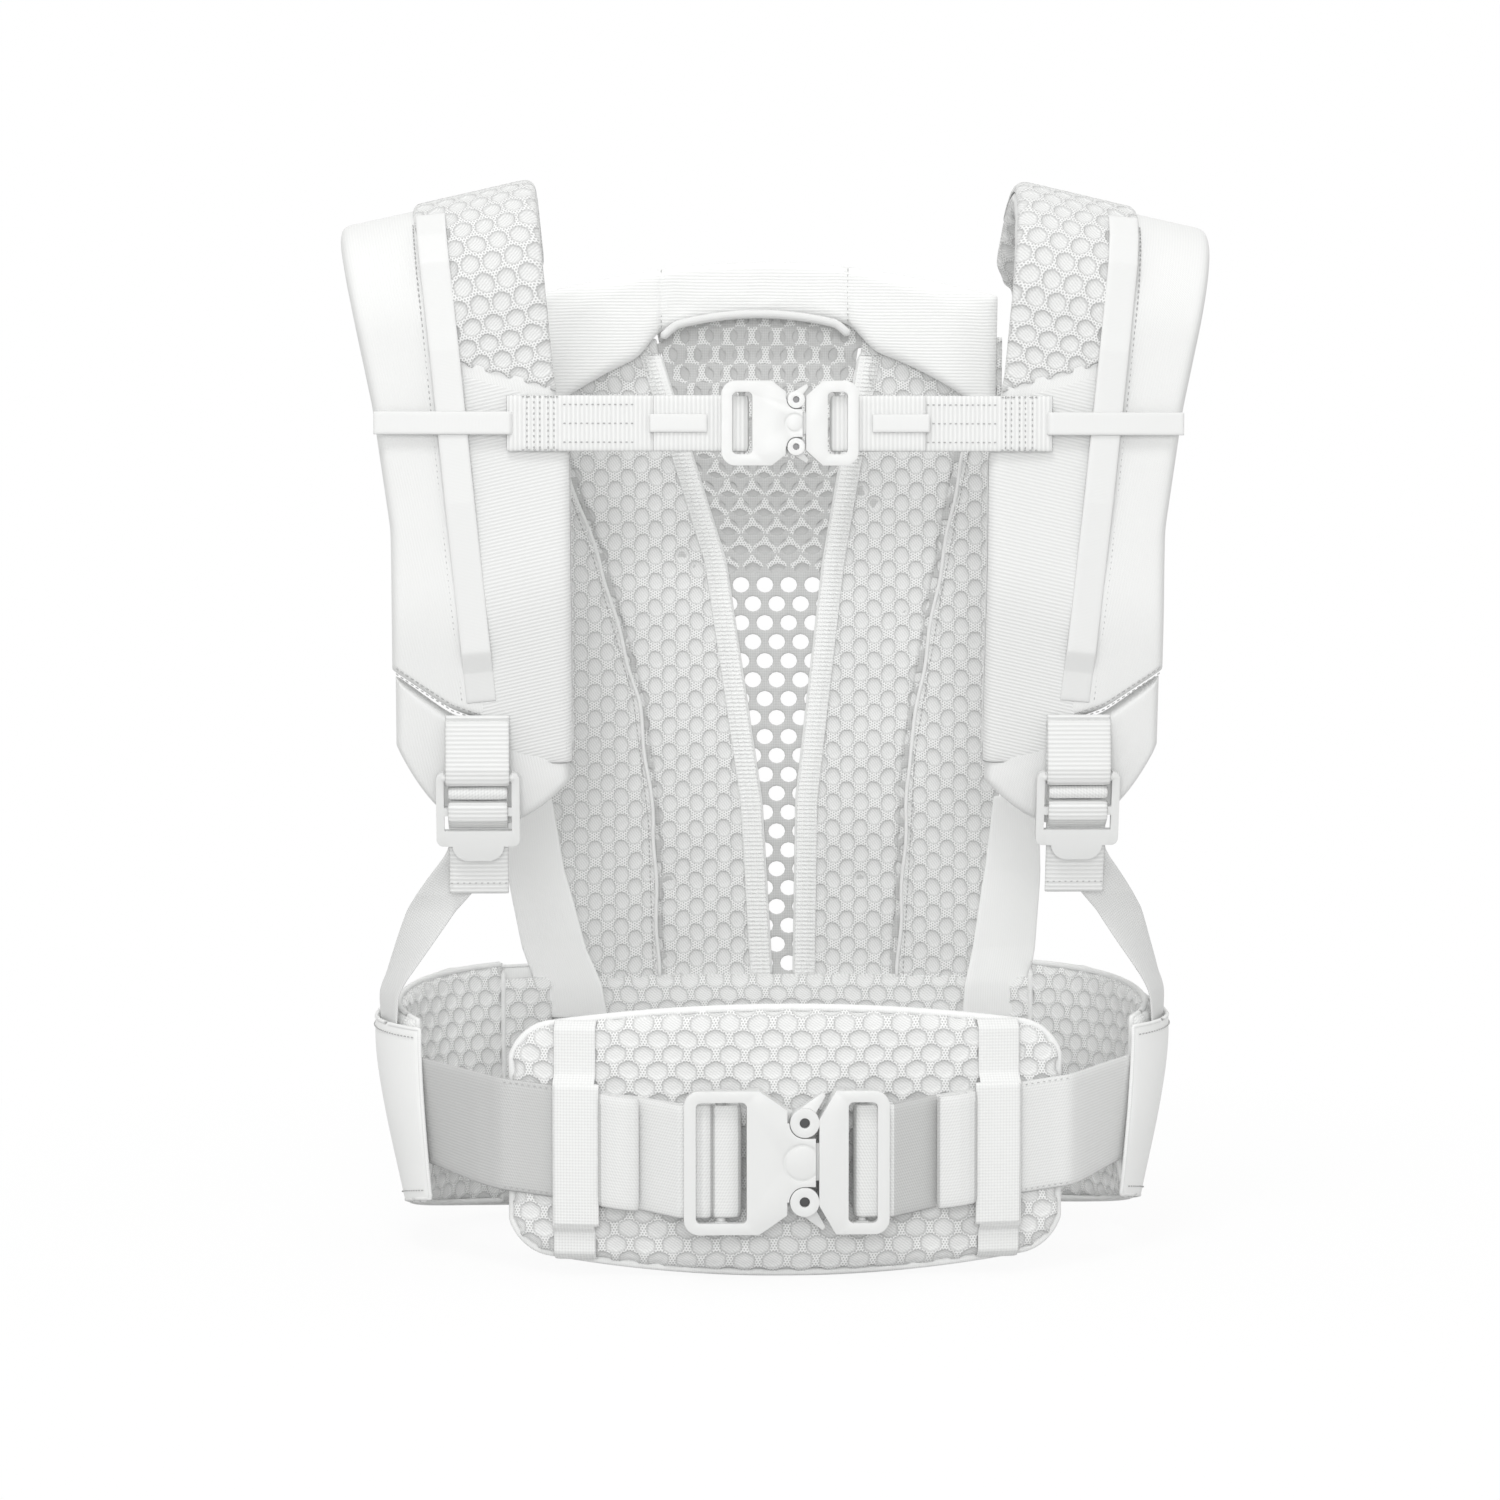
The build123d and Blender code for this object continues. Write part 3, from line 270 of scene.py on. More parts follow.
def cell_distance(weave, spot, pitch, row, width, height):
    """0 in the middle of a mesh cell and 1 on its rim; rows are staggered by half a pitch."""
    parts = weave.node("ShaderNodeSeparateXYZ", spot)
    drift = []
    for axis, (turn, reach) in zip((1, 0), UNEVEN):
        wave = weave.math("SINE", weave.math("MULTIPLY", parts.outputs[axis], turn))
        drift.append(weave.math("MULTIPLY", wave, reach))
    spot = weave.vector("ADD", spot, weave.node("ShaderNodeCombineXYZ", *drift).outputs[0])
    high, low = (pitch / 2, row, 0.5), (-pitch / 2, -row, -0.5)
    first = weave.vector("WRAP", spot, high, low)
    second = weave.vector("WRAP", weave.vector("SUBTRACT", spot, (pitch / 2, row, 0.0)), high, low)
    nearer = weave.math("LESS_THAN", weave.vector("DOT_PRODUCT", first, first),
                        weave.vector("DOT_PRODUCT", second, second))
    mix = weave.node("ShaderNodeMix", data_type="VECTOR")
    for value, socket in ((nearer, mix.inputs["Factor"]), (second, mix.inputs[4]), (first, mix.inputs[5])):
        weave.tree.links.new(value, socket)
    sized = weave.vector("MULTIPLY", weave.vector("ABSOLUTE", mix.outputs[1]), (2 / width, 2 / height, 0.0))
    parts = weave.node("ShaderNodeSeparateXYZ", sized)
    slant = weave.math("MULTIPLY_ADD", parts.outputs[1], SLANT,
                       weave.math("MULTIPLY", parts.outputs[0], 0.5))
    straight = weave.math("MAXIMUM", parts.outputs[0], slant)
    return weave.math("MULTIPLY", weave.math("ADD", straight, weave.vector("LENGTH", sized)), 0.5)


@made_once
def mesh_cloth(name, colour, kind, hollow=0.95):
    """Knitted spacer mesh: walls of fine open net round sunken cells of close slanting knit."""
    w = Weave(name, 0.85, **{"Sheen Weight": 0.25, "Specular IOR Level": 0.3})
    *cell, turned = mesh_pattern(kind)
    spot = w.cloth_mm()
    if turned:
        parts = w.node("ShaderNodeSeparateXYZ", spot)
        spot = w.node("ShaderNodeCombineXYZ", parts.outputs[1], parts.outputs[0]).outputs[0]
    away = cell_distance(w, spot, *cell)
    rim = w.ramp(away, 0.93, 1.07)
    holes = w.ramp(cell_distance(w, spot, 1.3, 1.1, 1.3, 1.3), 0.35, 0.85, 1.0, 0.0)
    parts = w.node("ShaderNodeSeparateXYZ", spot)
    slope = w.math("MULTIPLY_ADD", parts.outputs[0], 0.7, parts.outputs[1])
    lines = w.ramp(w.math("SINE", w.math("MULTIPLY", slope, 2 * pi / 1.35)), -1.0, 1.0)
    knit = w.node("ShaderNodeTexNoise", w.vector("MULTIPLY", spot, (1.1, 1.1, 1.0)))
    tone = w.blend(rim, shade(colour, hollow), colour)
    tone = w.stain(tone, holes, w.math("MULTIPLY_ADD", rim, 0.62, 0.15), shade(colour, 0.45))
    tone = w.stain(tone, lines, w.math("MULTIPLY_ADD", rim, -0.28, 0.4), shade(colour, 0.6))
    tone = w.stain(tone, knit.outputs[0], 0.06, shade(colour, 0.7))
    # painted shade: a dark ring just inside each cell's rim, where the sunken cell drops away under its wall
    painted_rim_shade = w.math("MULTIPLY", w.ramp(away, 0.78, 0.95), w.ramp(away, 1.0, 1.08, 1.0, 0.0))
    tone = w.stain(tone, painted_rim_shade, 0.45, shade(colour, 0.55))
    fine = w.math("MULTIPLY_ADD", holes, -0.05, w.math("MULTIPLY", lines, 0.03))
    return w.finish(tone, w.math("ADD", rim, fine), 0.00022)


@made_once
def woven_cloth(name, colour, across=0.0, along=0.0, contrast=0.1, depth=0.0001, rough=0.8, sheen=0.2,
                slanted=0.0, fleck=0.06):
    """Woven cloth or tape with ribs of the given pitches, in millimetres; 0 leaves them out."""
    w = Weave(name, rough, **{"Sheen Weight": sheen, "Specular IOR Level": 0.35})
    spot = w.cloth_mm()
    parts = w.node("ShaderNodeSeparateXYZ", spot)
    x, z = parts.outputs[0], parts.outputs[1]
    if slanted:
        z = w.math("MULTIPLY_ADD", x, slanted, z)
    waves = []
    for place, pitch in ((x, across), (z, along)):
        if pitch:
            waves.append(w.math("SINE", w.math("MULTIPLY", place, 2 * pi / pitch)))
    high = waves[0]
    if len(waves) == 2:
        high = w.math("MULTIPLY_ADD", waves[0], 0.6, w.math("MULTIPLY", waves[1], 0.6))
    yarn = w.node("ShaderNodeTexNoise", w.vector("MULTIPLY", spot, (0.9, 0.9, 1.0)))
    wide = w.node("ShaderNodeTexNoise", w.vector("MULTIPLY", spot, (0.03, 0.03, 1.0)))
    dark = w.ramp(high, -1.0, 1.0, contrast, 0.0)
    tone = w.blend(dark, colour, shade(colour, 0.55))
    tone = w.stain(tone, yarn.outputs[0], fleck, shade(colour, 0.7))
    tone = w.stain(tone, wide.outputs[0], 0.05, shade(colour, 0.8))
    grain = w.math("MULTIPLY_ADD", yarn.outputs[0], 0.6, high)
    return w.finish(tone, grain, depth)


@made_once
def moulding(name, colour):
    """Satin moulded plastic with a very fine grain."""
    rough = 0.38
    w = Weave(name, rough, **{"Specular IOR Level": 0.5, "Coat Weight": 0.08})
    spot = w.node("ShaderNodeTexCoord").outputs["Object"]
    grain = w.node("ShaderNodeTexNoise", w.vector("MULTIPLY", spot, (2600.0, 2600.0, 2600.0)))
    cloud = w.node("ShaderNodeTexNoise", w.vector("MULTIPLY", spot, (30.0, 30.0, 30.0)))
    tone = w.stain(colour, cloud.outputs[0], 0.08, shade(colour, 0.85))
    gloss = w.ramp(cloud.outputs[0], 0.3, 0.7, rough - 0.05, rough + 0.07)
    w.tree.links.new(gloss, w.shader.inputs["Roughness"])
    return w.finish(tone, grain.outputs[0], 0.00002)


@made_once
def metal(name, colour):
    """Drawn wire and strip, with faint lines along it."""
    w = Weave(name, 0.3, Metallic=1.0)
    spot = w.node("ShaderNodeTexCoord").outputs["Object"]
    lines = w.node("ShaderNodeTexNoise", w.vector("MULTIPLY", spot, (900.0, 120.0, 900.0)))
    tone = w.stain(colour, lines.outputs[0], 0.3, shade(colour, 0.8))
    return w.finish(tone, lines.outputs[0], 0.00001)


# name: cell pattern, colour factor, brightness of the cells beside their walls; the colour factor is painted
# light, above 1 for mesh deep in the carrier that gets less light and below 1 for the straps' mesh that the
# lamps light most
MESHES = {
    "lumbar_mesh": ("pad", 1.0, 0.95),
    "belt_spacer_mesh": ("pad", 1.10, 0.95),
    "strap_mesh": ("strap", 0.93, 0.95),
    "flap_spacer_mesh": ("panel", 1.04, 0.92),
    "doubled_mesh": ("doubled", 1.0, 0.66),
}
TWILL = dict(across=1.2, along=0.9, depth=0.00002, slanted=0.7)
RIBBED = dict(along=1.5, contrast=0.2, depth=0.00006)
SATIN = dict(across=1.3, contrast=0.3, depth=0.00004, slanted=0.5)
# name: colour, its factor, and how the cloth is woven; where one cloth comes in a lighter and a darker copy,
# the factor is painted light and shade
WEAVES = {
    # painted shade: this twill is darker for the straps' faces, which the lamps light most
    "fine_twill_cloth": ("cloth", 0.90, dict(TWILL, contrast=0.12, fleck=0.05)),
    # painted light: the same twill, brighter for the belt's wings, side bands and edge tapes deep in the
    # carrier
    "band_twill": ("cloth", 1.05, dict(TWILL, contrast=0.08, fleck=0.04)),
    # painted light: ribbed cloth, brighter for the head support
    "ribbed_cloth": ("cloth", 1.06, RIBBED),
    # painted shade: the same ribbed cloth, darker for the straps' faces
    "strap_ribbed_cloth": ("cloth", 0.89, RIBBED),
    "plain_webbing": ("webbing", 0.98, dict(SATIN, along=1.2, rough=0.5, sheen=0.1)),
    # satin webbing: glossier, and darker as painted shade where it is laid on the waist webbing
    "satin_webbing": ("webbing", 0.72, dict(SATIN, along=1.1, rough=0.38, sheen=0.0)),
    "ribbed_webbing": ("webbing", 1.0, dict(along=1.9, contrast=0.28, depth=0.00008, rough=0.6, sheen=0.1)),
    "ribbed_elastic": ("cloth", 0.95,
                       dict(across=1.3, along=1.3, contrast=0.25, depth=0.00006, rough=0.75)),
    "satin_tape": ("cloth", 0.84, dict(along=0.6, contrast=0.04, depth=0.00001, rough=0.4)),
    "edge_binding": ("cloth", 1.0, dict(along=0.8, contrast=0.08, depth=0.00003)),
    "sewing_thread": ("webbing", 0.58, dict(along=0.4, contrast=0.2, depth=0.00002, rough=0.6)),
    "edge_thread": ("cloth", 1.0, dict(along=0.4, contrast=0.2, depth=0.00002, rough=0.7)),
    # painted shade: the open net's yarn is darkened for the shade on the net's front, which gets little light
    "open_net_yarn": ("mesh", 0.7, dict(across=1.1, along=1.2, contrast=0.3, depth=0.00003)),
}


def fabric(name):
    """The mesh or woven cloth of that name."""
    if name in MESHES:
        kind, factor, hollow = MESHES[name]
        return mesh_cloth(name, shade(colours().mesh, factor), kind, hollow)
    colour, factor, weave = WEAVES[name]
    return woven_cloth(name, shade(getattr(colours(), colour), factor), **weave)


# ---------- cloth shapes ----------
def crowd(a, amount=0.5):
    """Moves grid lines towards both edges, where cloth bends most."""
    return (1 - amount) * a + amount * np.sin(a * pi / 2)


def rounded(distance, radius):
    """0 at an edge, 1 from `radius` inwards, along a quarter circle."""
    inside = np.clip(distance / radius, 0, 1)
    return np.sqrt(1 - (1 - inside) ** 2)


def domed(height, radius, edge="edge"):
    """A layer's height: rounded down to nothing at its edges, or at the edges that are named."""
    return lambda g: height * rounded(getattr(g, edge), radius)


def wavy(height, wave, length, seed):
    """A layer's height, with gentle waves."""
    return lambda g: height + wave * ripple(g.x, g.z, length, seed)


def smooth_step(value, low, high):
    """0 below low, 1 above high and a soft step between them."""
    t = np.clip((value - low) / (high - low), 0, 1)
    return t * t * (3 - 2 * t)


def ripple(x, z, length, seed):
    """Gentle uneven waves of about the given length, from -1 to 1."""
    rng = np.random.default_rng(seed)
    total = 0
    for _ in range(5):
        angle, phase, stretch = rng.uniform(0, pi), rng.uniform(0, 2 * pi), rng.uniform(0.6, 1.6)
        total = total + np.sin((x * cos(angle) + z * sin(angle)) * 2 * pi / (length * stretch) + phase)
    return total / 5


def cell_walls(x, z, kind):
    """1 on the walls of the mesh and 0 in its cells, at the same places as in mesh_cloth."""
    pitch, row, width, height, turned = mesh_pattern(kind)
    p = np.stack([z, x] if turned else [x, z], -1)
    p = p + np.stack([reach * np.sin(p[..., k] * turn) for k, (turn, reach) in zip((1, 0), UNEVEN)], -1)
    size = np.array([pitch, 2 * row])
    first = np.mod(p + size / 2, size) - size / 2
    second = np.mod(p, size) - size / 2
    near = (first**2).sum(-1) < (second**2).sum(-1)
    g = np.abs(np.where(near[..., None], first, second)) * 2 / np.array([width, height])
    straight = np.maximum(g[..., 0], g[..., 0] * 0.5 + g[..., 1] * SLANT)
    return smooth_step((straight + np.hypot(g[..., 0], g[..., 1])) / 2, 0.55, 1.12)


def sunken_cells(kind, share=1.0):
    """Relief of a mesh piece: how far its cells lie under its walls, in millimetres."""
    depth = share * sizes().cell_depth * 1000
    return lambda x, z: depth * (cell_walls(x, z, kind) - 1)


def add_object(name, mesh, materials):
    """Adds a piece to the scene; a cloth is given by its name."""
    piece = bpy.data.objects.new(name, mesh)
    bpy.context.scene.collection.objects.link(piece)
    for material in materials:
        mesh.materials.append(fabric(material) if isinstance(material, str) else material)
    return piece


def place_piece(piece, replaces=(), body="carrier", bend=None):
    """The piece moves with one body. A bend is given as (bodies, start, end), in millimetres, but its values
    are not used: the piece is only baked where it stands. The frame parts it replaces are hidden."""
    if bend:
        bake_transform(piece)
    else:
        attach(piece, body)
    piece.data.polygons.foreach_set("use_smooth", [True] * len(piece.data.polygons))
    if replaces:
        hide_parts(*replaces)


def read(items, key, width=1, kind=float):
    """One property of all vertices, loops or faces, as an array."""
    values = np.empty(len(items) * width, kind)
    items.foreach_get(key, values)
    return values


def mesh_from(bm, name):
    """Turns a finished bmesh into a mesh."""
    mesh = bpy.data.meshes.new(name)
    bm.to_mesh(mesh)
    bm.free()
    return mesh


AIR_STEPS = 20


def fill_with_air(piece, cap):
    """Swells a padded piece with the cloth solver, and caps how far a point may move (metres)."""
    scene = bpy.context.scene
    start = read(piece.data.vertices, "co", 3)
    modifier = piece.modifiers.new("air", "CLOTH")
    settings = modifier.settings
    settings.quality = 4
    settings.mass = 0.15
    settings.use_pressure = True
    settings.uniform_pressure_force = sizes().puff
    settings.effector_weights.gravity = 0
    settings.tension_stiffness = settings.compression_stiffness = 40
    settings.bending_stiffness = 2
    modifier.collision_settings.use_self_collision = False
    modifier.point_cache.frame_start, modifier.point_cache.frame_end = 1, AIR_STEPS
    for step in range(1, AIR_STEPS + 1):
        scene.frame_set(step)
    graph = bpy.context.evaluated_depsgraph_get()
    end = read(piece.evaluated_get(graph).to_mesh().vertices, "co", 3)
    piece.evaluated_get(graph).to_mesh_clear()
    piece.modifiers.remove(modifier)
    scene.frame_set(1)
    move = (end - start).reshape(-1, 3)
    move -= move.mean(0)
    length = np.linalg.norm(move, axis=1, keepdims=True)
    move *= np.minimum(1, cap / np.maximum(length, 1e-9))
    piece.data.vertices.foreach_set("co", start + move.ravel())


def subdivide(piece, levels):
    """Rounds the piece with that many levels of subdivision, and keeps the result."""
    if not levels:
        return
    modifier = piece.modifiers.new("finer", "SUBSURF")
    modifier.levels = modifier.render_levels = levels
    graph = bpy.context.evaluated_depsgraph_get()
    mesh = bpy.data.meshes.new_from_object(piece.evaluated_get(graph), depsgraph=graph)
    old = piece.data
    piece.modifiers.remove(modifier)
    piece.data = mesh
    bpy.data.meshes.remove(old)
    mesh.name = piece.name


def face_outward(bm):
    """Turns all faces outward; the signed volume tells if the whole skin is inside out."""
    bmesh.ops.recalc_face_normals(bm, faces=bm.faces)
    if bm.calc_volume(signed=True) < 0:
        bmesh.ops.reverse_faces(bm, faces=bm.faces)


def emboss(piece, relief, side):
    """Moves the points of one side along their normals by relief(x, z), from the flat cloth."""
    mesh = piece.data
    count = len(mesh.vertices)
    owner = read(mesh.loops, "vertex_index", kind=int)
    flat = np.zeros((count, 2))
    flat[owner] = read(mesh.uv_layers["cloth"].data, "uv", 2).reshape(-1, 2) * 100
    of_loop = np.repeat(read(mesh.polygons, "material_index", kind=int),
                        read(mesh.polygons, "loop_total", kind=int))
    chosen = np.zeros(count, bool)
    chosen[owner[of_loop == side]] = True
    chosen[owner[of_loop != side]] = False
    push = relief(flat[:, 0], flat[:, 1]) * chosen * 0.001
    normals = read(mesh.vertex_normals, "vector", 3).reshape(-1, 3)
    co = read(mesh.vertices, "co", 3).reshape(-1, 3) + normals * push[:, None]
    mesh.vertices.foreach_set("co", co.ravel())
    mesh.update()


def cloth_shell(name, cells, surface, over, under, materials, rim=None, mirror=False, air=0.0, levels=1,
                relief=None, relief_under=None):
    """A closed piece of cloth. surface(a, b) gives points and flat cloth places, in millimetres, for
    a and b from -1 to 1. over and under are heights along the normal, as numbers or functions of
    the flat place and the distance to the edge. materials are the over side's and the under side's.
    rim is the height of the closed edge, halfway between the sides if it isn't given; air is how far
    air may push the cloth, and the reliefs are pressed into the two sides."""
    across, along = cells
    bm = bmesh.new()
    bm.loops.layers.uv.new("cloth")
    bmesh.ops.create_grid(bm, x_segments=across, y_segments=along, size=1.0)
    bmesh.ops.create_grid(bm, x_segments=across, y_segments=along, size=1.0)
    bm.faces.ensure_lookup_table()
    back = bm.faces[len(bm.faces) // 2:]
    bmesh.ops.reverse_faces(bm, faces=back)
    for face in back:
        face.material_index = 1
    mesh = mesh_from(bm, name)
    co = read(mesh.vertices, "co", 3).reshape(-1, 3)
    half = len(co) // 2
    rows = []
    for first in (0, half):
        x, y = co[first:first + half, :2].round(6).T
        rows.append(np.lexsort((x, y)).reshape(along + 1, across + 1) + first)
    a, b = co[rows[0], 0], co[rows[0], 1]
    points, flat = surface(a, b)
    across_step, along_step = np.gradient(points, axis=1), np.gradient(points, axis=0)
    normal = np.cross(across_step, along_step)
    normal /= np.maximum(np.linalg.norm(normal, axis=2, keepdims=True), 1e-9)
    spans = []
    for axis in (1, 0):
        run = np.linalg.norm(np.diff(points, axis=axis), axis=2)
        zero = np.zeros_like(np.take(run, [0], axis=axis))
        run = np.concatenate([zero, np.cumsum(run, axis=axis)], axis=axis)
        spans.append(np.minimum(run, np.take(run, [-1], axis=axis) - run))
    grid = SimpleNamespace(a=a, b=b, x=flat[..., 0], z=flat[..., 1], side=spans[0], end=spans[1],
                           edge=np.minimum(*spans))
    heights = [h(grid) if callable(h) else np.full(a.shape, float(h)) for h in (over, under)]
    border = np.zeros(a.shape, bool)
    border[0], border[-1], border[:, 0], border[:, -1] = True, True, True, True
    middle = (heights[0] + heights[1]) / 2 if rim is None else np.full(a.shape, float(rim))
    for index, height in zip(rows, heights):
        height = np.where(border, middle, height)
        co[index] = (points + normal * height[..., None]) * 0.001
    if mirror:
        co[:, 0] *= -1
    mesh.vertices.foreach_set("co", co.ravel())
    place = np.zeros((len(co), 2))
    for index in rows:
        place[index] = flat / 100
    owner = read(mesh.loops, "vertex_index", kind=int)
    mesh.uv_layers["cloth"].data.foreach_set("uv", place[owner].ravel())
    bm = bmesh.new()
    bm.from_mesh(mesh)
    bmesh.ops.remove_doubles(bm, verts=bm.verts, dist=2e-6)
    face_outward(bm)
    bm.to_mesh(mesh)
    bm.free()
    piece = add_object(name, mesh, materials if len(materials) == 2 else materials * 2)
    if air:
        fill_with_air(piece, air * 0.001)
    subdivide(piece, levels)
    for pattern, side in ((relief, 0), (relief_under, 1)):
        if pattern:
            emboss(piece, pattern, side)
    width, length = np.ptp(flat[..., 0]), np.ptp(flat[..., 1])
    piece["cut"] = [float(width / 1000), float(length / 1000), float(flat_area(flat) / 1e6)]
    return piece


def flat_area(flat):
    """Area of a grid of flat places, in square millimetres."""
    first = flat[1:, 1:] - flat[:-1, :-1]
    second = flat[1:, :-1] - flat[:-1, 1:]
    return np.abs(first[..., 0] * second[..., 1] - first[..., 1] * second[..., 0]).sum() / 2


def bent_route(corners, radius, step=2.0):
    """Points along straight runs with rounded corners."""
    corners = [np.array(c, float) for c in corners]
    points = [corners[0]]
    radii = radius if hasattr(radius, "__len__") else [radius] * (len(corners) - 2)
    for before, corner, after, r in zip(corners, corners[1:], corners[2:], radii):
        into, out = corner - before, after - corner
        run_in, run_out = np.linalg.norm(into), np.linalg.norm(out)
        into, out = into / run_in, out / run_out
        turn = np.arccos(np.clip(into @ out, -1, 1))
        reach = min(r * tan(min(turn, 3.0) / 2), 0.48 * run_in, 0.48 * run_out)
        p, q = corner - into * reach, corner + out * reach
        count = max(2, int(turn / 0.25))
        for t in np.linspace(0, 1, count + 1):
            points.append((1 - t) ** 2 * p + 2 * t * (1 - t) * corner + t * t * q)
    points.append(corners[-1])
    points = np.array(points)
    gaps = np.linalg.norm(np.diff(points, axis=0), axis=1)
    keep = np.concatenate([[True], gaps > 1e-4])
    points = points[keep]
    gaps = np.linalg.norm(np.diff(points, axis=0), axis=1)
    dense = [points[:1]]
    for p, q, gap in zip(points, points[1:], gaps):
        count = max(1, int(ceil(gap / step)))
        dense.append(p + (q - p) * np.linspace(1 / count, 1, count)[:, None])
    return np.concatenate(dense)


def along_route(points):
    """How far each point lies along the route."""
    return np.concatenate([[0], np.cumsum(np.linalg.norm(np.diff(points, axis=0), axis=1))])


def route_point(points, run, distance):
    """The point at a distance along a route."""
    return np.array([np.interp(distance, run, points[:, k]) for k in range(3)])


def webbing(name, points, across, width, thick, material, mirror=False, ribs=6, wave=0.0):
    """Flat webbing along a route. across is one direction or one for each of some shares of the
    length, as (share, x, y, z); width is a number or (share, width) pairs."""
    run = along_route(points)
    share = run / run[-1]
    if len(np.shape(across)) == 1:
        side = np.tile(np.array(across, float), (len(points), 1))
    else:
        table = np.array(across, float)
        side = np.stack([np.interp(share, table[:, 0], table[:, k]) for k in (1, 2, 3)], -1)
    side /= np.linalg.norm(side, axis=1, keepdims=True)
    if not hasattr(width, "__len__"):
        width = ((0, width), (1, width))
    widths = np.interp(share, *np.array(width, float).T)

    def surface(a, b):
        row = np.round((b[:, 0] + 1) / 2 * (len(points) - 1)).astype(int)
        a = crowd(a, 0.6)
        place = points[row][:, None, :] + side[row][:, None, :] * (a * widths[row][:, None] / 2)[..., None]
        flat = np.stack([a * widths[row][:, None] / 2, np.broadcast_to(run[row][:, None], a.shape)], -1)
        return place, flat

    def face(sign):
        return lambda g: sign * thick / 2 + wave * ripple(g.z, g.x, 30, 1)

    return cloth_shell(name, (ribs, len(points) - 1), surface, face(1), face(-1), [material], mirror=mirror)


def piping(name, points, radius, material, mirror=False, closed=False):
    """A round edging along a route."""
    sides = 10
    run = along_route(points)
    tangent = np.gradient(points, axis=0)
    if closed:
        tangent[0] = tangent[-1] = points[1] - points[-2]
    tangent /= np.linalg.norm(tangent, axis=1, keepdims=True)
    helper = np.where(np.abs(tangent[:, 1:2]) > 0.9, [[1.0, 0, 0]], [[0, 1.0, 0]])
    first = np.cross(tangent, helper)
    first /= np.linalg.norm(first, axis=1, keepdims=True)
    second = np.cross(tangent, first)
    bm = bmesh.new()
    layer = bm.loops.layers.uv.new("cloth")
    bmesh.ops.create_grid(bm, x_segments=sides, y_segments=len(points) - 1, size=1.0)
    for vertex in bm.verts:
        row = round((vertex.co.y + 1) / 2 * (len(points) - 1))
        angle = (vertex.co.x + 1) * pi
        r = radius if closed or 0 < row < len(points) - 1 else 0.0
        for loop in vertex.link_loops:
            loop[layer].uv = (angle * radius / 100, run[row] / 100)
        place = points[row] + first[row] * r * cos(angle) + second[row] * r * sin(angle)
        vertex.co = Vector(place) * 0.001
        if mirror:
            vertex.co.x *= -1
    bmesh.ops.remove_doubles(bm, verts=bm.verts, dist=2e-6)
    face_outward(bm)
    return add_object(name, mesh_from(bm, name), [material])


def stitches(name, lines, body="carrier", mirror=False, length=1.9, thick=0.7, pitch=None, pale=False,
             bend=None):
    """Rows of thread. Each line is (points, normal), in millimetres; a third value turns its stitches."""
    pitch = pitch or sizes().stitch_pitch * 1000
    bm = bmesh.new()
    for line in lines:
        points, normal = np.array(line[0], float), Vector(line[1]).normalized()
        crosswise = len(line) > 2 and line[2]
        run = along_route(points)
        for spot in np.arange(pitch / 2, run[-1], pitch):
            middle = Vector(route_point(points, run, spot))
            before, after = (route_point(points, run, spot + step) for step in (-0.5, 0.5))
            ahead = Vector(after - before).normalized()
            side = normal.cross(ahead).normalized()
            if crosswise:
                ahead, side = side, ahead
            up = ahead.cross(side).normalized()
            turn = Matrix((ahead * length / 2, side * thick / 2, up * thick / 2)).transposed().to_4x4()
            bmesh.ops.create_icosphere(bm, subdivisions=1, radius=0.001,
                                       matrix=Matrix.Translation(middle * 0.001) @ turn)
    if mirror:
        for vertex in bm.verts:
            vertex.co.x *= -1
        bmesh.ops.reverse_faces(bm, faces=bm.faces)
    bm.loops.layers.uv.new("cloth")
    piece = add_object(name, mesh_from(bm, name), ["edge_thread" if pale else "sewing_thread"])
    place_piece(piece, body=body, bend=bend)


def moulded(name, node, body, rounding=1.0):
    """A moulded piece on a frame node, with its edges rounded."""
    bm = bmesh.new()
    bm.from_mesh(frame["nodes"][node].data)
    bmesh.ops.remove_doubles(bm, verts=bm.verts, dist=1e-6)
    bmesh.ops.dissolve_limit(bm, angle_limit=radians(1.5), verts=bm.verts, edges=bm.edges)
    sharp = [e for e in bm.edges if e.is_manifold and e.calc_face_angle(0) > radians(30)]
    bmesh.ops.bevel(bm, geom=sharp, offset=sizes().edge_round * rounding, offset_type="OFFSET",
                    affect="EDGES", segments=3, profile=0.5, material=-1, clamp_overlap=True)
    bmesh.ops.triangulate(bm, faces=[f for f in bm.faces if len(f.verts) > 4])
    plastic = moulding("satin_moulding", tuple(colours().plastic))
    piece = add_object(name, mesh_from(bm, name), [plastic])
    place_piece(piece, (node,), body)
    piece.data.set_sharp_from_angle(angle=radians(35))


# ---------- places on the frame's curved layers ----------
def on_pad(x, z, outward):
    """Point on the lumbar pad's curve; x runs along the curve from the pad's middle."""
    angle = x / PAD_RADIUS
    r = PAD_RADIUS + outward
    return np.stack([PAD_MIDDLE + r * np.sin(angle), PAD_RADIUS - PAD_FRONT + SHIFT_Y - r * np.cos(angle),
                     z + 0 * angle], -1)


def on_panel(x, z, inset):
    """Point on the far side of the belt loop; x is the distance from the middle, seen square on."""
    angle = np.arcsin(np.clip(x / SIDE_RADIUS, -1, 1))
    r = SIDE_RADIUS - inset
    return np.stack([r * np.sin(angle), SHIFT_Y - SIDE_CENTRE + r * np.cos(angle), z + 0 * angle], -1)


def flat_on_panel(x, z):
    """Flat place of a point of the panel."""
    return np.stack([SIDE_RADIUS * np.arcsin(x / SIDE_RADIUS), z], -1)


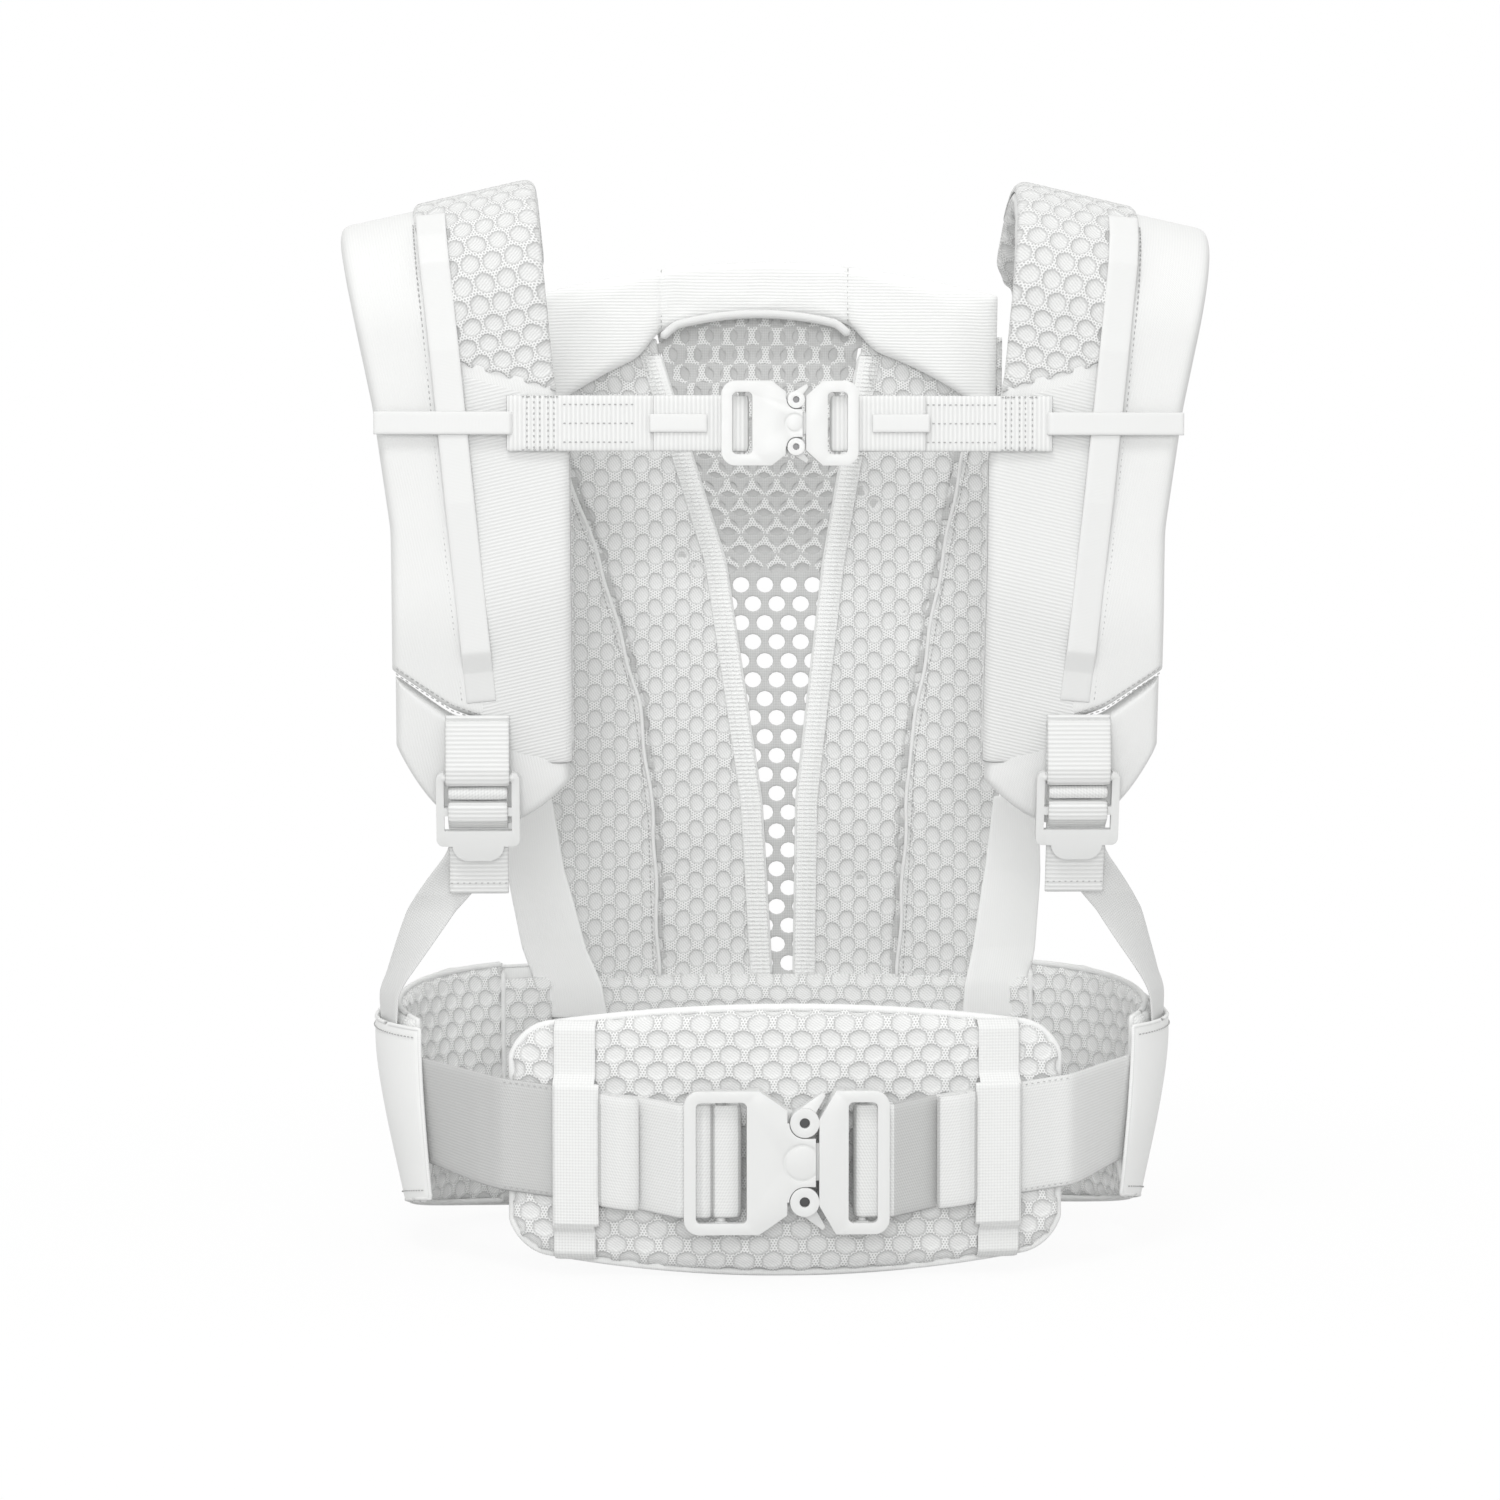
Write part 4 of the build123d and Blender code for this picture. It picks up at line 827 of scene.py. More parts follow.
def on_belt(s, z, inset):
    """Point on the belt loop, s along its outer face from the far middle towards +X."""
    first = SIDE_RADIUS * TURN
    side, end = np.minimum(s, first) / SIDE_RADIUS, TURN + np.maximum(s - first, 0) / END_RADIUS
    flat = s <= first
    side_r, end_r = SIDE_RADIUS - inset, END_RADIUS - inset
    x = np.where(flat, side_r * np.sin(side), END_CENTRE + end_r * np.sin(end))
    y = np.where(flat, side_r * np.cos(side) - SIDE_CENTRE, end_r * np.cos(end))
    return np.stack([x, y + SHIFT_Y, z + 0 * x], -1)


LOW_REACH = 40.0     # how far a strap's rounded end hangs below the start of its middle line
LEG_LOW, LEG_TURN, LEG_HIGH = 72.0, 120.0 * TILT, 108.0      # lengths of that line up to the shoulder


def strap_side_line():
    """Side line of a strap's middle: length, heading, and place in the plane of its side."""
    over, back = radians(135), radians(45)
    turns = ((LEG_LOW + LOW_REACH, 0.0), (LEG_TURN, TILT), (LEG_HIGH, 0.0), (47.0 * over, over),
             (50.0, 0.0), (30.0 * back, back), (26.0, 0.0))
    heading, s, steps = -TILT, -LOW_REACH, [(-LOW_REACH, -TILT)]
    for length, turn in turns:
        count = max(2, int(length / 0.5))
        for k in range(1, count + 1):
            steps.append((s + length * k / count, heading + turn * k / count))
        s, heading = s + length, heading + turn
    s, angle = np.array(steps).T
    middle = (angle[1:] + angle[:-1]) / 2
    y = np.concatenate([[0], np.cumsum(np.diff(s) * np.sin(middle))])
    z = np.concatenate([[0], np.cumsum(np.diff(s) * np.cos(middle))])
    turn_s = LEG_LOW + LEG_TURN
    y += -STRAP_FRONT - np.interp(turn_s, s, y)
    z -= np.interp(turn_s, s, z)
    return s, angle, y, z


LINE_S, LINE_ANGLE, LINE_Y, LINE_Z = strap_side_line()
LEG_END = LEG_LOW + LEG_TURN + LEG_HIGH     # where the strap starts to bend over the shoulder


def on_strap(s, w, outward):
    """Point on the right strap: s along it, w across it, outward of its middle."""
    angle, y, z = (np.interp(s, LINE_S, v) for v in (LINE_ANGLE, LINE_Y, LINE_Z))
    y = y - outward * np.cos(angle)
    z = z + outward * np.sin(angle)
    return np.stack([STRAP_X + sin(LEAN) * z + cos(LEAN) * w, y + SHIFT_Y,
                     STRAP_TURN_Z + cos(LEAN) * z - sin(LEAN) * w], -1)


def strap_edges(s):
    """The inner and outer edge of the strap, across it, at s."""
    z = np.interp(s, LINE_S, LINE_Z)
    edges = []
    for outline in (STRAP_INNER, STRAP_OUTER):
        heights, xs = zip(*outline)
        w = 0 * s
        for _ in range(8):
            height = STRAP_TURN_Z + cos(LEAN) * z - sin(LEAN) * w
            w = (np.interp(height, heights, xs) - STRAP_X - sin(LEAN) * z) / cos(LEAN)
        edges.append(w)
    # beside the head support the strap is narrower, so that it clears it
    limit = (112.6 - STRAP_X - sin(LEAN) * z) / cos(LEAN)
    far = smooth_step(s, 330.0, 352.0)
    edges[0] = np.maximum(edges[0], edges[0] + far * (limit - edges[0]))
    return edges


def leg_place(x, z):
    """s and w on the near leg for a point seen square on."""
    dx, dz = x - STRAP_X, z - STRAP_TURN_Z
    level, w = sin(LEAN) * dx + cos(LEAN) * dz, cos(LEAN) * dx - sin(LEAN) * dz
    near = LINE_S <= LEG_END + 60
    return np.interp(level, LINE_Z[near], LINE_S[near]), w


def strap_skin(s, w, lift=0.0):
    """Point on the padded strap's outer skin, rounded at its two edges."""
    inner, outer = strap_edges(s)
    edge = np.minimum(w - inner, outer - w)
    return on_strap(s, w, STRAP_PUFF * rounded(np.maximum(edge, 0), 5.5) + lift)


def leg_skin(x, z, lift=0.0):
    """Point on the near leg's skin, seen square on."""
    s, w = leg_place(np.asarray(x, float), np.asarray(z, float))
    return strap_skin(s, w, lift)


# ---------- belt ----------
# s, along the belt loop, where a wing starts and at its widest place
WING_START = SIDE_RADIUS * np.arcsin(104.4 / SIDE_RADIUS)
WING_SIDE = SIDE_RADIUS * TURN + END_RADIUS * (pi / 2 - TURN)
SHELL_INSET, STRIP_INSET, LINING_INSET = 0.9, 8.6, 10.8      # of a wing's layers, from its outer face


def near_end(x, inset):
    """Where a layer of the belt loop comes back to x on the near side."""
    angle = pi - np.arcsin((x - END_CENTRE) / (END_RADIUS - inset))
    return SIDE_RADIUS * TURN + END_RADIUS * (angle - TURN)


WING_STOP, LINING_STOP = near_end(156.5, 0.0), near_end(157.5, LINING_INSET)
LINING_START = SIDE_RADIUS * np.arcsin(127.0 / SIDE_RADIUS)
# depth and height of points on the wings' edges
WING_LOW = ((-59.0, 27.0), (-40.0, 23.5), (0.0, 16.5), (40.0, 9.0), (62.0, 5.0), (84.0, 0.0))
WING_TOP = ((-59.0, 102.0), (0.0, 102.5), (20.0, 104.5), (40.0, 110.0), (58.0, 116.0), (80.0, 116.0))
LINING_TOP = ((-59.0, 100.5), (-40.0, 103.0), (0.0, 109.0), (30.0, 114.0), (60.0, 118.5), (80.0, 119.0))


def lean(s, z):
    """How far a wing is drawn in at its lower side, where it closes round the hips."""
    share = np.interp(s, (WING_START, WING_SIDE, WING_STOP), (0.0, 1.0, 0.5))
    return 20.0 * share * np.clip((95.0 - z) / 95.0, 0, 1) ** 1.5


def wing_edges(s, inset, top):
    """Lower and upper edge of a belt wing at s."""
    y = on_belt(s, 0, inset)[..., 1] - SHIFT_Y
    return np.interp(y, *zip(*WING_LOW)), np.interp(y, *zip(*top))


def on_wing(s, z, inset):
    """Point on a wing; its layers come together along the lower edge."""
    closing = smooth_step(42.0 - z, 0, 24) * np.clip(inset - 4.5, 0, None)
    return on_belt(s, z, inset - closing + lean(s, z))


def wing_surface(inset, start, stop, top):
    """Surface of one layer of a wing."""
    def surface(a, b):
        share = (crowd(a, 0.3) + 1) / 2
        s = start + share * (stop - start)
        low, high = wing_edges(s, inset, top)
        z = low + (crowd(b, 0.3) + 1) / 2 * (high - low)
        return on_wing(s, z, inset), np.stack([s, z], -1)
    return surface


def build_belt():
    cells = sunken_cells("pad")

    def front(a, b):
        x = 104.0 * crowd(a, 0.3)
        z = BELT_FRONT_HEIGHT * (crowd(b, 0.4) + 1) / 2
        return on_panel(x, z, 6.6), flat_on_panel(x, z)

    piece = cloth_shell("belt_front", (64, 34), front, domed(6.4, 6.0, "end"), domed(-6.4, 6.0, "end"),
                        ["belt_spacer_mesh", "fine_twill_cloth"], levels=2, air=1.5, relief=cells)
    place_piece(piece, ("belt_front_shell", "belt_front_foam", "belt_front_lining"))
    for side, mirror in MIRRORED:
        outside = wing_surface(SHELL_INSET, WING_START, WING_STOP, WING_TOP)
        shell = cloth_shell(f"belt_wing_{side}", (60, 40), outside, wavy(0.7, 0.5, 42, 3),
                            wavy(-0.7, 0.5, 42, 3), ["band_twill"], mirror=mirror)
        place_piece(shell, (f"belt_wing_shell_{side}",))
        level_top = ((-90.0, 111.0), (90.0, 111.0))
        between = wing_surface(STRIP_INSET, WING_START - 1.5, LINING_START + 3.0, level_top)
        strip = cloth_shell(f"belt_side_mesh_{side}", (12, 34), between, domed(2.8, 5.0, "end"),
                            domed(-3.0, 5.0, "end"), ["belt_spacer_mesh"], mirror=mirror, levels=2,
                            relief=cells)
        place_piece(strip)
        inside = wing_surface(LINING_INSET, LINING_START, LINING_STOP, LINING_TOP)
        lining = cloth_shell(f"belt_lining_{side}", (46, 28), inside, domed(3.2, 6.0), domed(-3.0, 6.0),
                             ["belt_spacer_mesh"], mirror=mirror, levels=2, air=1.0, relief=cells)
        place_piece(lining, (f"belt_wing_lining_{side}",))
        for part, inset, radius, start, stop, top in (
            ("shell", SHELL_INSET, 0.9, WING_START, WING_STOP - 0.5, WING_TOP),
            ("lining", LINING_INSET, 1.3, LINING_START + 0.6, LINING_STOP - 0.8, LINING_TOP),
        ):
            along = np.linspace(start, stop, 70)
            low, high = wing_edges(along, inset, top)
            rise = np.linspace(0.02, 0.98, 24)
            near_z = high[-1] + (low[-1] - high[-1]) * rise
            route = [on_wing(along, high - 0.8, inset), on_wing(np.full(24, stop), near_z, inset),
                     on_wing(along, low + 0.8, inset)[::-1]]
            if part == "lining":
                far_z = low[0] + (high[0] - low[0]) * rise
                route.append(on_wing(np.full(24, start), far_z, inset))
            route = np.concatenate(route)
            edge = piping(f"belt_wing_{part}_edge_{side}", route, radius, "edge_binding", mirror)
            place_piece(edge)
        along = np.linspace(WING_START, WING_STOP - 4, 60)
        low, high = wing_edges(along, SHELL_INSET, WING_TOP)
        rows = [(on_wing(along, z, -0.1), (1, 0, 0)) for z in (high - 4.5, low + 4.5)]
        stitches(f"belt_wing_stitches_{side}", rows, mirror=mirror)


# ---------- lumbar pad ----------
def pad_edges(x):
    """Lower and upper edge of the lumbar pad at x from its middle."""
    bow = PAD_RISE * (x / PAD_HALF) ** 2
    into = np.maximum(np.abs(x) - (PAD_HALF - PAD_CORNER), 0)
    corner = PAD_CORNER - np.sqrt(np.maximum(PAD_CORNER**2 - into**2, 0))
    return bow + corner, PAD_HEIGHT - bow - corner


def build_lumbar_pad():
    cells = sunken_cells("pad", 1.2)

    def surface(a, b):
        x = (PAD_HALF - 0.6) * crowd(a, 0.55)
        low, high = pad_edges(x)
        z = (low + high) / 2 + crowd(b, 0.5) * (high - low - 1.0) / 2
        return on_pad(x, z, -7.3), np.stack([x, z], -1)

    pad = cloth_shell("lumbar_pad", (66, 34), surface, domed(6.9, 9.0), domed(-6.6, 9.0), ["lumbar_mesh"],
                      levels=2, air=0.6, relief=cells, relief_under=cells)
    place_piece(pad, ("lumbar_pad_face", "lumbar_pad_foam"))
    x = (PAD_HALF - 0.9) * np.sin(np.linspace(-pi / 2, pi / 2, 90))
    low, high = pad_edges(x)
    upper, lower = on_pad(x, high - 1.0, -6.4), on_pad(x[::-1], low[::-1] + 1.0, -6.4)[1:]
    right_side = np.linspace(upper[-1], lower[0], 20)[1:-1]
    left_side = np.linspace(lower[-1], upper[0], 20)[1:]
    route = np.concatenate([upper, right_side, lower, left_side])
    edge = piping("lumbar_pad_edge", route, 1.6, "edge_binding", closed=True)
    place_piece(edge)
    for side, sign in SIDES:
        centre = 91.0 * sign
        across = (cos(centre / PAD_RADIUS), sin(centre / PAD_RADIUS), 0)
        low, high = pad_edges(centre)
        corners = ((low + 1.2, -6.5), (low + 0.8, -2.5), (low + 4.0, 0.9), (19.0, 0.9), (22.0, 4.6),
                   (83.0, 4.6), (86.5, 0.9), (high - 4.0, 0.9), (high - 0.8, -2.5), (high - 1.2, -6.5))
        points = bent_route([on_pad(centre, z, out) for z, out in corners], 2.2, 1.6)
        band = webbing(f"lumbar_band_{side}", points, across, 19.0, 0.9, "ribbed_elastic", ribs=8)
        place_piece(band, (f"lumbar_band_{side}",))
        beside = centre - sign * 1.5
        corners = ((23.0, 2.2), (22.2, 4.4), (23.2, 5.6), (52.0, 5.8), (81.8, 5.6), (82.8, 4.4),
                   (82.0, 2.2))
        points = bent_route([on_pad(beside, z, out) for z, out in corners], 1.2, 1.6)
        loop = webbing(f"lumbar_keeper_{side}", points, across, 20.5, 0.9, "ribbed_elastic", ribs=8)
        place_piece(loop)


# ---------- waist webbing ----------
WAIST_LEVEL, WAIST_BAR = 51.5, 2.2       # height of the buckle's middle, and half its bar
POCKET_X, POCKET_INSET = 152.0, 3.1      # where webbing enters a wing, between shell and lining


def pad_spot(x, outward):
    """Point in plan in front of the lumbar pad at x, seen square on."""
    r = PAD_RADIUS + outward
    return np.array([x, PAD_RADIUS - PAD_FRONT + SHIFT_Y - sqrt(r**2 - (x - PAD_MIDDLE) ** 2)])


def build_waist_webbing():
    buckle = [node_mm("waist_buckle_body"), node_mm("waist_buckle_latch")]
    left_edge, right_edge = buckle[0][0][0], buckle[1][1][0]
    middle_x = (left_edge + right_edge) / 2
    bar_y = (buckle[0][0][1] + buckle[0][1][1]) / 2 + 2.4
    pocket_y = sqrt((END_RADIUS - POCKET_INSET) ** 2 - (POCKET_X - END_CENTRE) ** 2)
    half = (right_edge - left_edge) / 2
    turn = WAIST_BAR + LOOSE + WEB / 2
    for side, sign in SIDES:
        slot = 21.6 if sign < 0 else 12.4
        bar_x = middle_x + sign * (half - 5.0 - slot / 2)
        entry_x = middle_x + sign * (half + 2)
        end_x = PAD_MIDDLE + sign * PAD_HALF
        roll_x = PAD_MIDDLE + sign * 72.0
        lift_x = roll_x - sign * 8.0
        run, back = LOOSE + WEB / 2, 2 * LOOSE + 1.5 * WEB
        plan = [(sign * 157.0, -pocket_y + 5.4 + SHIFT_Y), (sign * POCKET_X, -pocket_y + SHIFT_Y),
                pad_spot(end_x + sign * 1.5, run + 1.0)]
        plan += [pad_spot(x, run) for x in np.linspace(end_x - sign * 6, lift_x, 7)]
        plan += [(entry_x, bar_y + turn), (bar_x + sign * 1.0, bar_y + turn)]
        if sign < 0:
            # a wide slot shows the webbing as two rolls, one round the bar and one beside it
            round_bar = np.linspace(0.25, pi - 0.25, 9)
            plan += [(bar_x + 1.0 + 7.2 * sin(t), bar_y + turn * cos(t)) for t in round_bar]
            beside = ((2.4, 0.3), (3.6, turn - 0.6), (4.8, 0.6), (7.0, -0.6), (9.4, 0.4))
            plan += [(bar_x - away, bar_y - turn + up) for away, up in beside]
        else:
            round_bar = np.linspace(0.25, pi - 0.25, 7)
            plan += [(bar_x - turn * sin(t), bar_y + turn * cos(t)) for t in round_bar]
            plan += [(bar_x + 1.0, bar_y - turn)]
        plan += [(entry_x, bar_y - turn), pad_spot(lift_x, back)]
        # the spare end is rolled up and held by the keeper
        for angle in np.linspace(-0.5 * pi, 1.75 * pi, 15):
            reach = 1.0 if angle < pi else 0.8
            x = roll_x + sign * 8.4 * reach * cos(angle)
            plan.append(pad_spot(x, back + 3.6 + 3.4 * reach * sin(angle)))
        # from the buckle to the pocket the webbing rises by 13 mm
        corners = []
        for x, y in plan:
            rise = np.clip((abs(x) - abs(entry_x)) / (POCKET_X - abs(entry_x)), 0, 1.05) * 13.0
            corners.append((x, y, WAIST_LEVEL + rise))
        points = bent_route(corners, [6.0, 24.0, 24.0] + [1.8] * (len(corners) - 5), 2.0)
        tip = (sign * 0.625 * 2.8, -0.78 * 2.8)
        points[:, :2] -= np.array(tip) * np.clip((np.abs(points[:, :1]) - 130.0) / 22.0, 0, 1)
        run = along_route(points) / along_route(points)[-1]
        bend_share = run[np.argmax(np.abs(points[:, 0]) < 130.0)]
        across = ((0.0, sign * 0.09, -0.11, 1), (bend_share, 0, 0, 1), (1.0, 0, 0, 1))
        strip = webbing(f"waist_webbing_{side}", points, across, 50.0, WEB - 0.1, "plain_webbing", ribs=10)
        # the satin copy is glossier, and painted darker as painted shade on the left webbing's outer part,
        # beside the latch and on the rolls' sides, which turn sideways to the lamps
        strip.data.materials.append(fabric("satin_webbing"))
        for face in strip.data.polygons:
            x = face.center.x
            rolled = abs(face.normal.x) > 0.6 and (abs(x) < 0.043 or 0.066 < abs(x) < 0.09)
            if x < -0.098 or 0.047 < x < 0.066 or rolled:
                face.material_index = 2
        rows = []
        for edge in (-1, 1):
            line = [(x, y - WEB / 2 - 0.1, z + edge * 22.6) for x, y, z in corners[2:9]]
            rows.append((bent_route(line, 1.0, 3.0), FRONT))
        stretch = (("carrier", "waist_latch"), (122.0, 0, 0), (62.0, 0, 0)) if sign > 0 else None
        place_piece(strip, (f"waist_webbing_{side}",), bend=stretch)
        stitches(f"waist_webbing_stitches_{side}", rows, thick=0.4, length=1.4, bend=stretch)


# ---------- buckles ----------
def build_buckles():
    for tag, latch, upper, lower, base in (
        ("waist", "waist_latch", "waist_upper_lever", "waist_lower_lever", "carrier"),
        ("chest", "chest_latch", "chest_upper_lever", "chest_lower_lever", "chest_strap"),
    ):
        rounding = 1.0 if tag == "waist" else 0.7
        moulded(f"{tag}_buckle_shell", f"{tag}_buckle_body", base, rounding)
        moulded(f"{tag}_buckle_plug", f"{tag}_buckle_latch", latch, rounding)
        moulded(f"{tag}_press_lever_upper", f"{tag}_lever_upper", upper, rounding * 0.6)
        moulded(f"{tag}_press_lever_lower", f"{tag}_lever_lower", lower, rounding * 0.6)
        for node in (f"{tag}_lever_pins", f"{tag}_lever_springs"):
            item = frame["nodes"][node]
            steel = metal("darkened_steel", shade(colours().metal, 0.12))
            if not item.material_slots:
                item.data.materials.append(None)
            for place in item.material_slots:
                place.link = "OBJECT"
                place.material = steel


# ---------- shoulder straps ----------
def rail_x(z):
    """Middle of the tape rail at a height."""
    return np.interp(z, (RAIL_BOTTOM[1], RAIL_TOP[1]), (RAIL_BOTTOM[0], RAIL_TOP[0]))


def build_straps():
    s_total = LINE_S[-1]
    cells = sunken_cells("strap", 1.35)

    def low_s(w):
        """Where the strap's padded part starts, at the seam to its rounded end."""
        s = np.full(w.shape, 60.0)
        for _ in range(10):
            point = on_strap(s, w, 0.0)
            seam = np.interp(point[..., 0], *zip(*SEAM_LOW))
            s = s + (seam - point[..., 2])
        return s

    def strap(a, b):
        """The padded strap, from that seam to its far end."""
        t = (crowd(b, 0.15) + 1) / 2
        s = 70.0 + t * (s_total - 70.0)
        for _ in range(3):
            inner, outer = strap_edges(s)
            w = (inner + outer) / 2 + crowd(a, 0.6) * (outer - inner) / 2
            s = low_s(w) * (1 - t) + t * s_total
        return on_strap(s, w, 0.0), np.stack([w, s], -1)

    def patch(place):
        """Surface of a patch just over the strap's skin; place gives s and w from two shares."""
        def surface(a, b):
            s, w = place((crowd(a, 0.4) + 1) / 2, (b + 1) / 2)
            return strap_skin(s, w, 0.25), np.stack([w, s], -1)
        return surface

    def mesh_border(s):
        """Inner and outer border of the mesh patch; it reaches under the tape rail."""
        inner, outer = strap_edges(s)
        z = STRAP_TURN_Z + cos(LEAN) * np.interp(s, LINE_S, LINE_Z)
        _, w_rail = leg_place(rail_x(np.minimum(z, 440.0)) + 1.5, np.minimum(z, 440.0))
        bare = inner + 0.62 * (outer - inner)
        past = smooth_step(s, LEG_END + 10, LEG_END + 45)
        return inner + 0.15, w_rail * (1 - past) + bare * past

    def mesh_relief(w, s):
        """Cells that fade out at the patch's borders."""
        inner, edge = mesh_border(s)
        return cells(w, s) * smooth_step(np.minimum(w - inner, edge - w), 0.5, 3.0)

    def patch_seam(side):
        """The slanting seam between mesh and ribbed cloth, from the inner edge to the rail."""
        inner_low, _ = leg_place(96.0, 376.5)
        rail_low, _ = leg_place(132.0, 393.0)
        return inner_low * (1 - side) + rail_low * side

    def mesh_patch(side, t):
        """From the slanting seam up over the shoulder, and from the inner edge to the rail."""
        top = LEG_END + 105.0
        start = patch_seam(side)
        s = start + t * (top - start)
        inner, edge = mesh_border(s)
        return s, inner + side * (edge - inner)

    def ribbed_patch(side, t):
        """From the lower seam up to the slanting seam, and from the inner edge to the rail."""
        stop = patch_seam(side) + 0.3
        inner, _ = strap_edges(np.full(side.shape, 100.0))
        start = low_s(inner + side * 40) + 0.4
        s = start + t * (stop - start)
        inner, _ = strap_edges(s)
        point = on_strap(s, inner + side * 45, 0.0)
        _, w_rail = leg_place(rail_x(point[..., 2]) + 1.5, point[..., 2])
        return s, inner + 0.15 + side * (w_rail - inner - 0.15)

    def end(a, b):
        """The rounded end below the seam."""
        x = 128.0 + crowd(a, 0.55) * 38.2
        top = np.interp(x, *zip(*SEAM_LOW)) - 0.1
        away = np.abs(x - 129)
        low = 188.5 + np.where(x < 129, 19.0 * (away / 36) ** 2.0, 39.0 * (away / 37.5) ** 2.1)
        low = np.minimum(low, top - 3)
        z = (low + top) / 2 + crowd(b, 0.5) * (top - low) / 2
        s, w = leg_place(x, z)
        return on_strap(s, w, 0.0), np.stack([w, s], -1)

    def puff(g):
        """Half thickness of the strap, pulled in at its sewn edges."""
        swell = rounded(np.minimum(g.side, g.end + 3.5), 5.5)
        return STRAP_PUFF * swell + 0.25 * ripple(g.x, g.z, 45, 5)

    def end_puff(g):
        """Half thickness of its end; the seam to the strap is pulled in less than the free edge."""
        swell = rounded(np.minimum(g.side + 0.8, g.end + 0.8 + 3.8 * (g.b > 0)), 7.0)
        return (STRAP_HALF - 0.5) * swell

    for side, mirror in MIRRORED:
        body = cloth_shell(f"strap_{side}", (20, 84), strap, puff, lambda g: -puff(g),
                           ["fine_twill_cloth", "strap_mesh"], mirror=mirror, levels=2, air=0.5,
                           relief_under=cells)
        place_piece(body,
                    (f"strap_face_{side}", f"strap_foam_{side}", f"strap_lining_{side}"))
        mesh = cloth_shell(f"strap_mesh_{side}", (18, 64), patch(mesh_patch), domed(1.9, 3.0), -0.5,
                           ["strap_mesh"], rim=-0.5, mirror=mirror, levels=2, relief=mesh_relief)
        place_piece(mesh)
        ribbed = cloth_shell(f"strap_ribbed_{side}", (12, 40), patch(ribbed_patch), wavy(0.45, 0.1, 30, 9),
                             -0.5, ["strap_ribbed_cloth"], rim=-0.4, mirror=mirror)
        place_piece(ribbed)
        cap = cloth_shell(f"strap_end_pad_{side}", (18, 16), end, end_puff, lambda g: -end_puff(g),
                          ["fine_twill_cloth"], mirror=mirror, levels=2, air=0.8)
        place_piece(cap, (f"strap_end_{side}",))
        # tape rail, sewn down at both ends
        heights = (245.5, 252.0, 259.0, 268.0, 330.0, 395.0, 428.0, 438.0, 446.5)
        lifts = (0.5, 0.5, 0.6, 3.0, 3.0, 4.2, 4.3, 4.2, 3.9)
        corners = [leg_skin(rail_x(z), z, lift + 0.2) for z, lift in zip(heights, lifts)]
        points = bent_route(corners, 4.0, 2.0)
        slope = (RAIL_TOP[0] - RAIL_BOTTOM[0]) / (RAIL_TOP[1] - RAIL_BOTTOM[1])
        across = (1, 0, -slope)
        tape = webbing(f"strap_tape_{side}", points, across, 13.4, 0.9, "satin_tape", mirror, ribs=8)
        place_piece(tape, (f"strap_rail_{side}",))
        seam_z = np.linspace(246.0, 445.0, 60)
        lines = [(leg_skin(rail_x(seam_z) + 8.4, seam_z, 0.25), FRONT)]
        seam_x = np.linspace(91.0, 166.0, 40)
        seam_z = np.interp(seam_x, *zip(*SEAM_LOW))
        for above in (2.2, 4.6):
            lines.append((leg_skin(seam_x, seam_z + above, 0.2), FRONT))
        stitches(f"strap_stitches_{side}", lines, mirror=mirror)


# ---------- chest strap ----------
CHEST_LEVEL, CHEST_BAR = 364.0, 1.4      # height of the buckle's middle, and half its bar


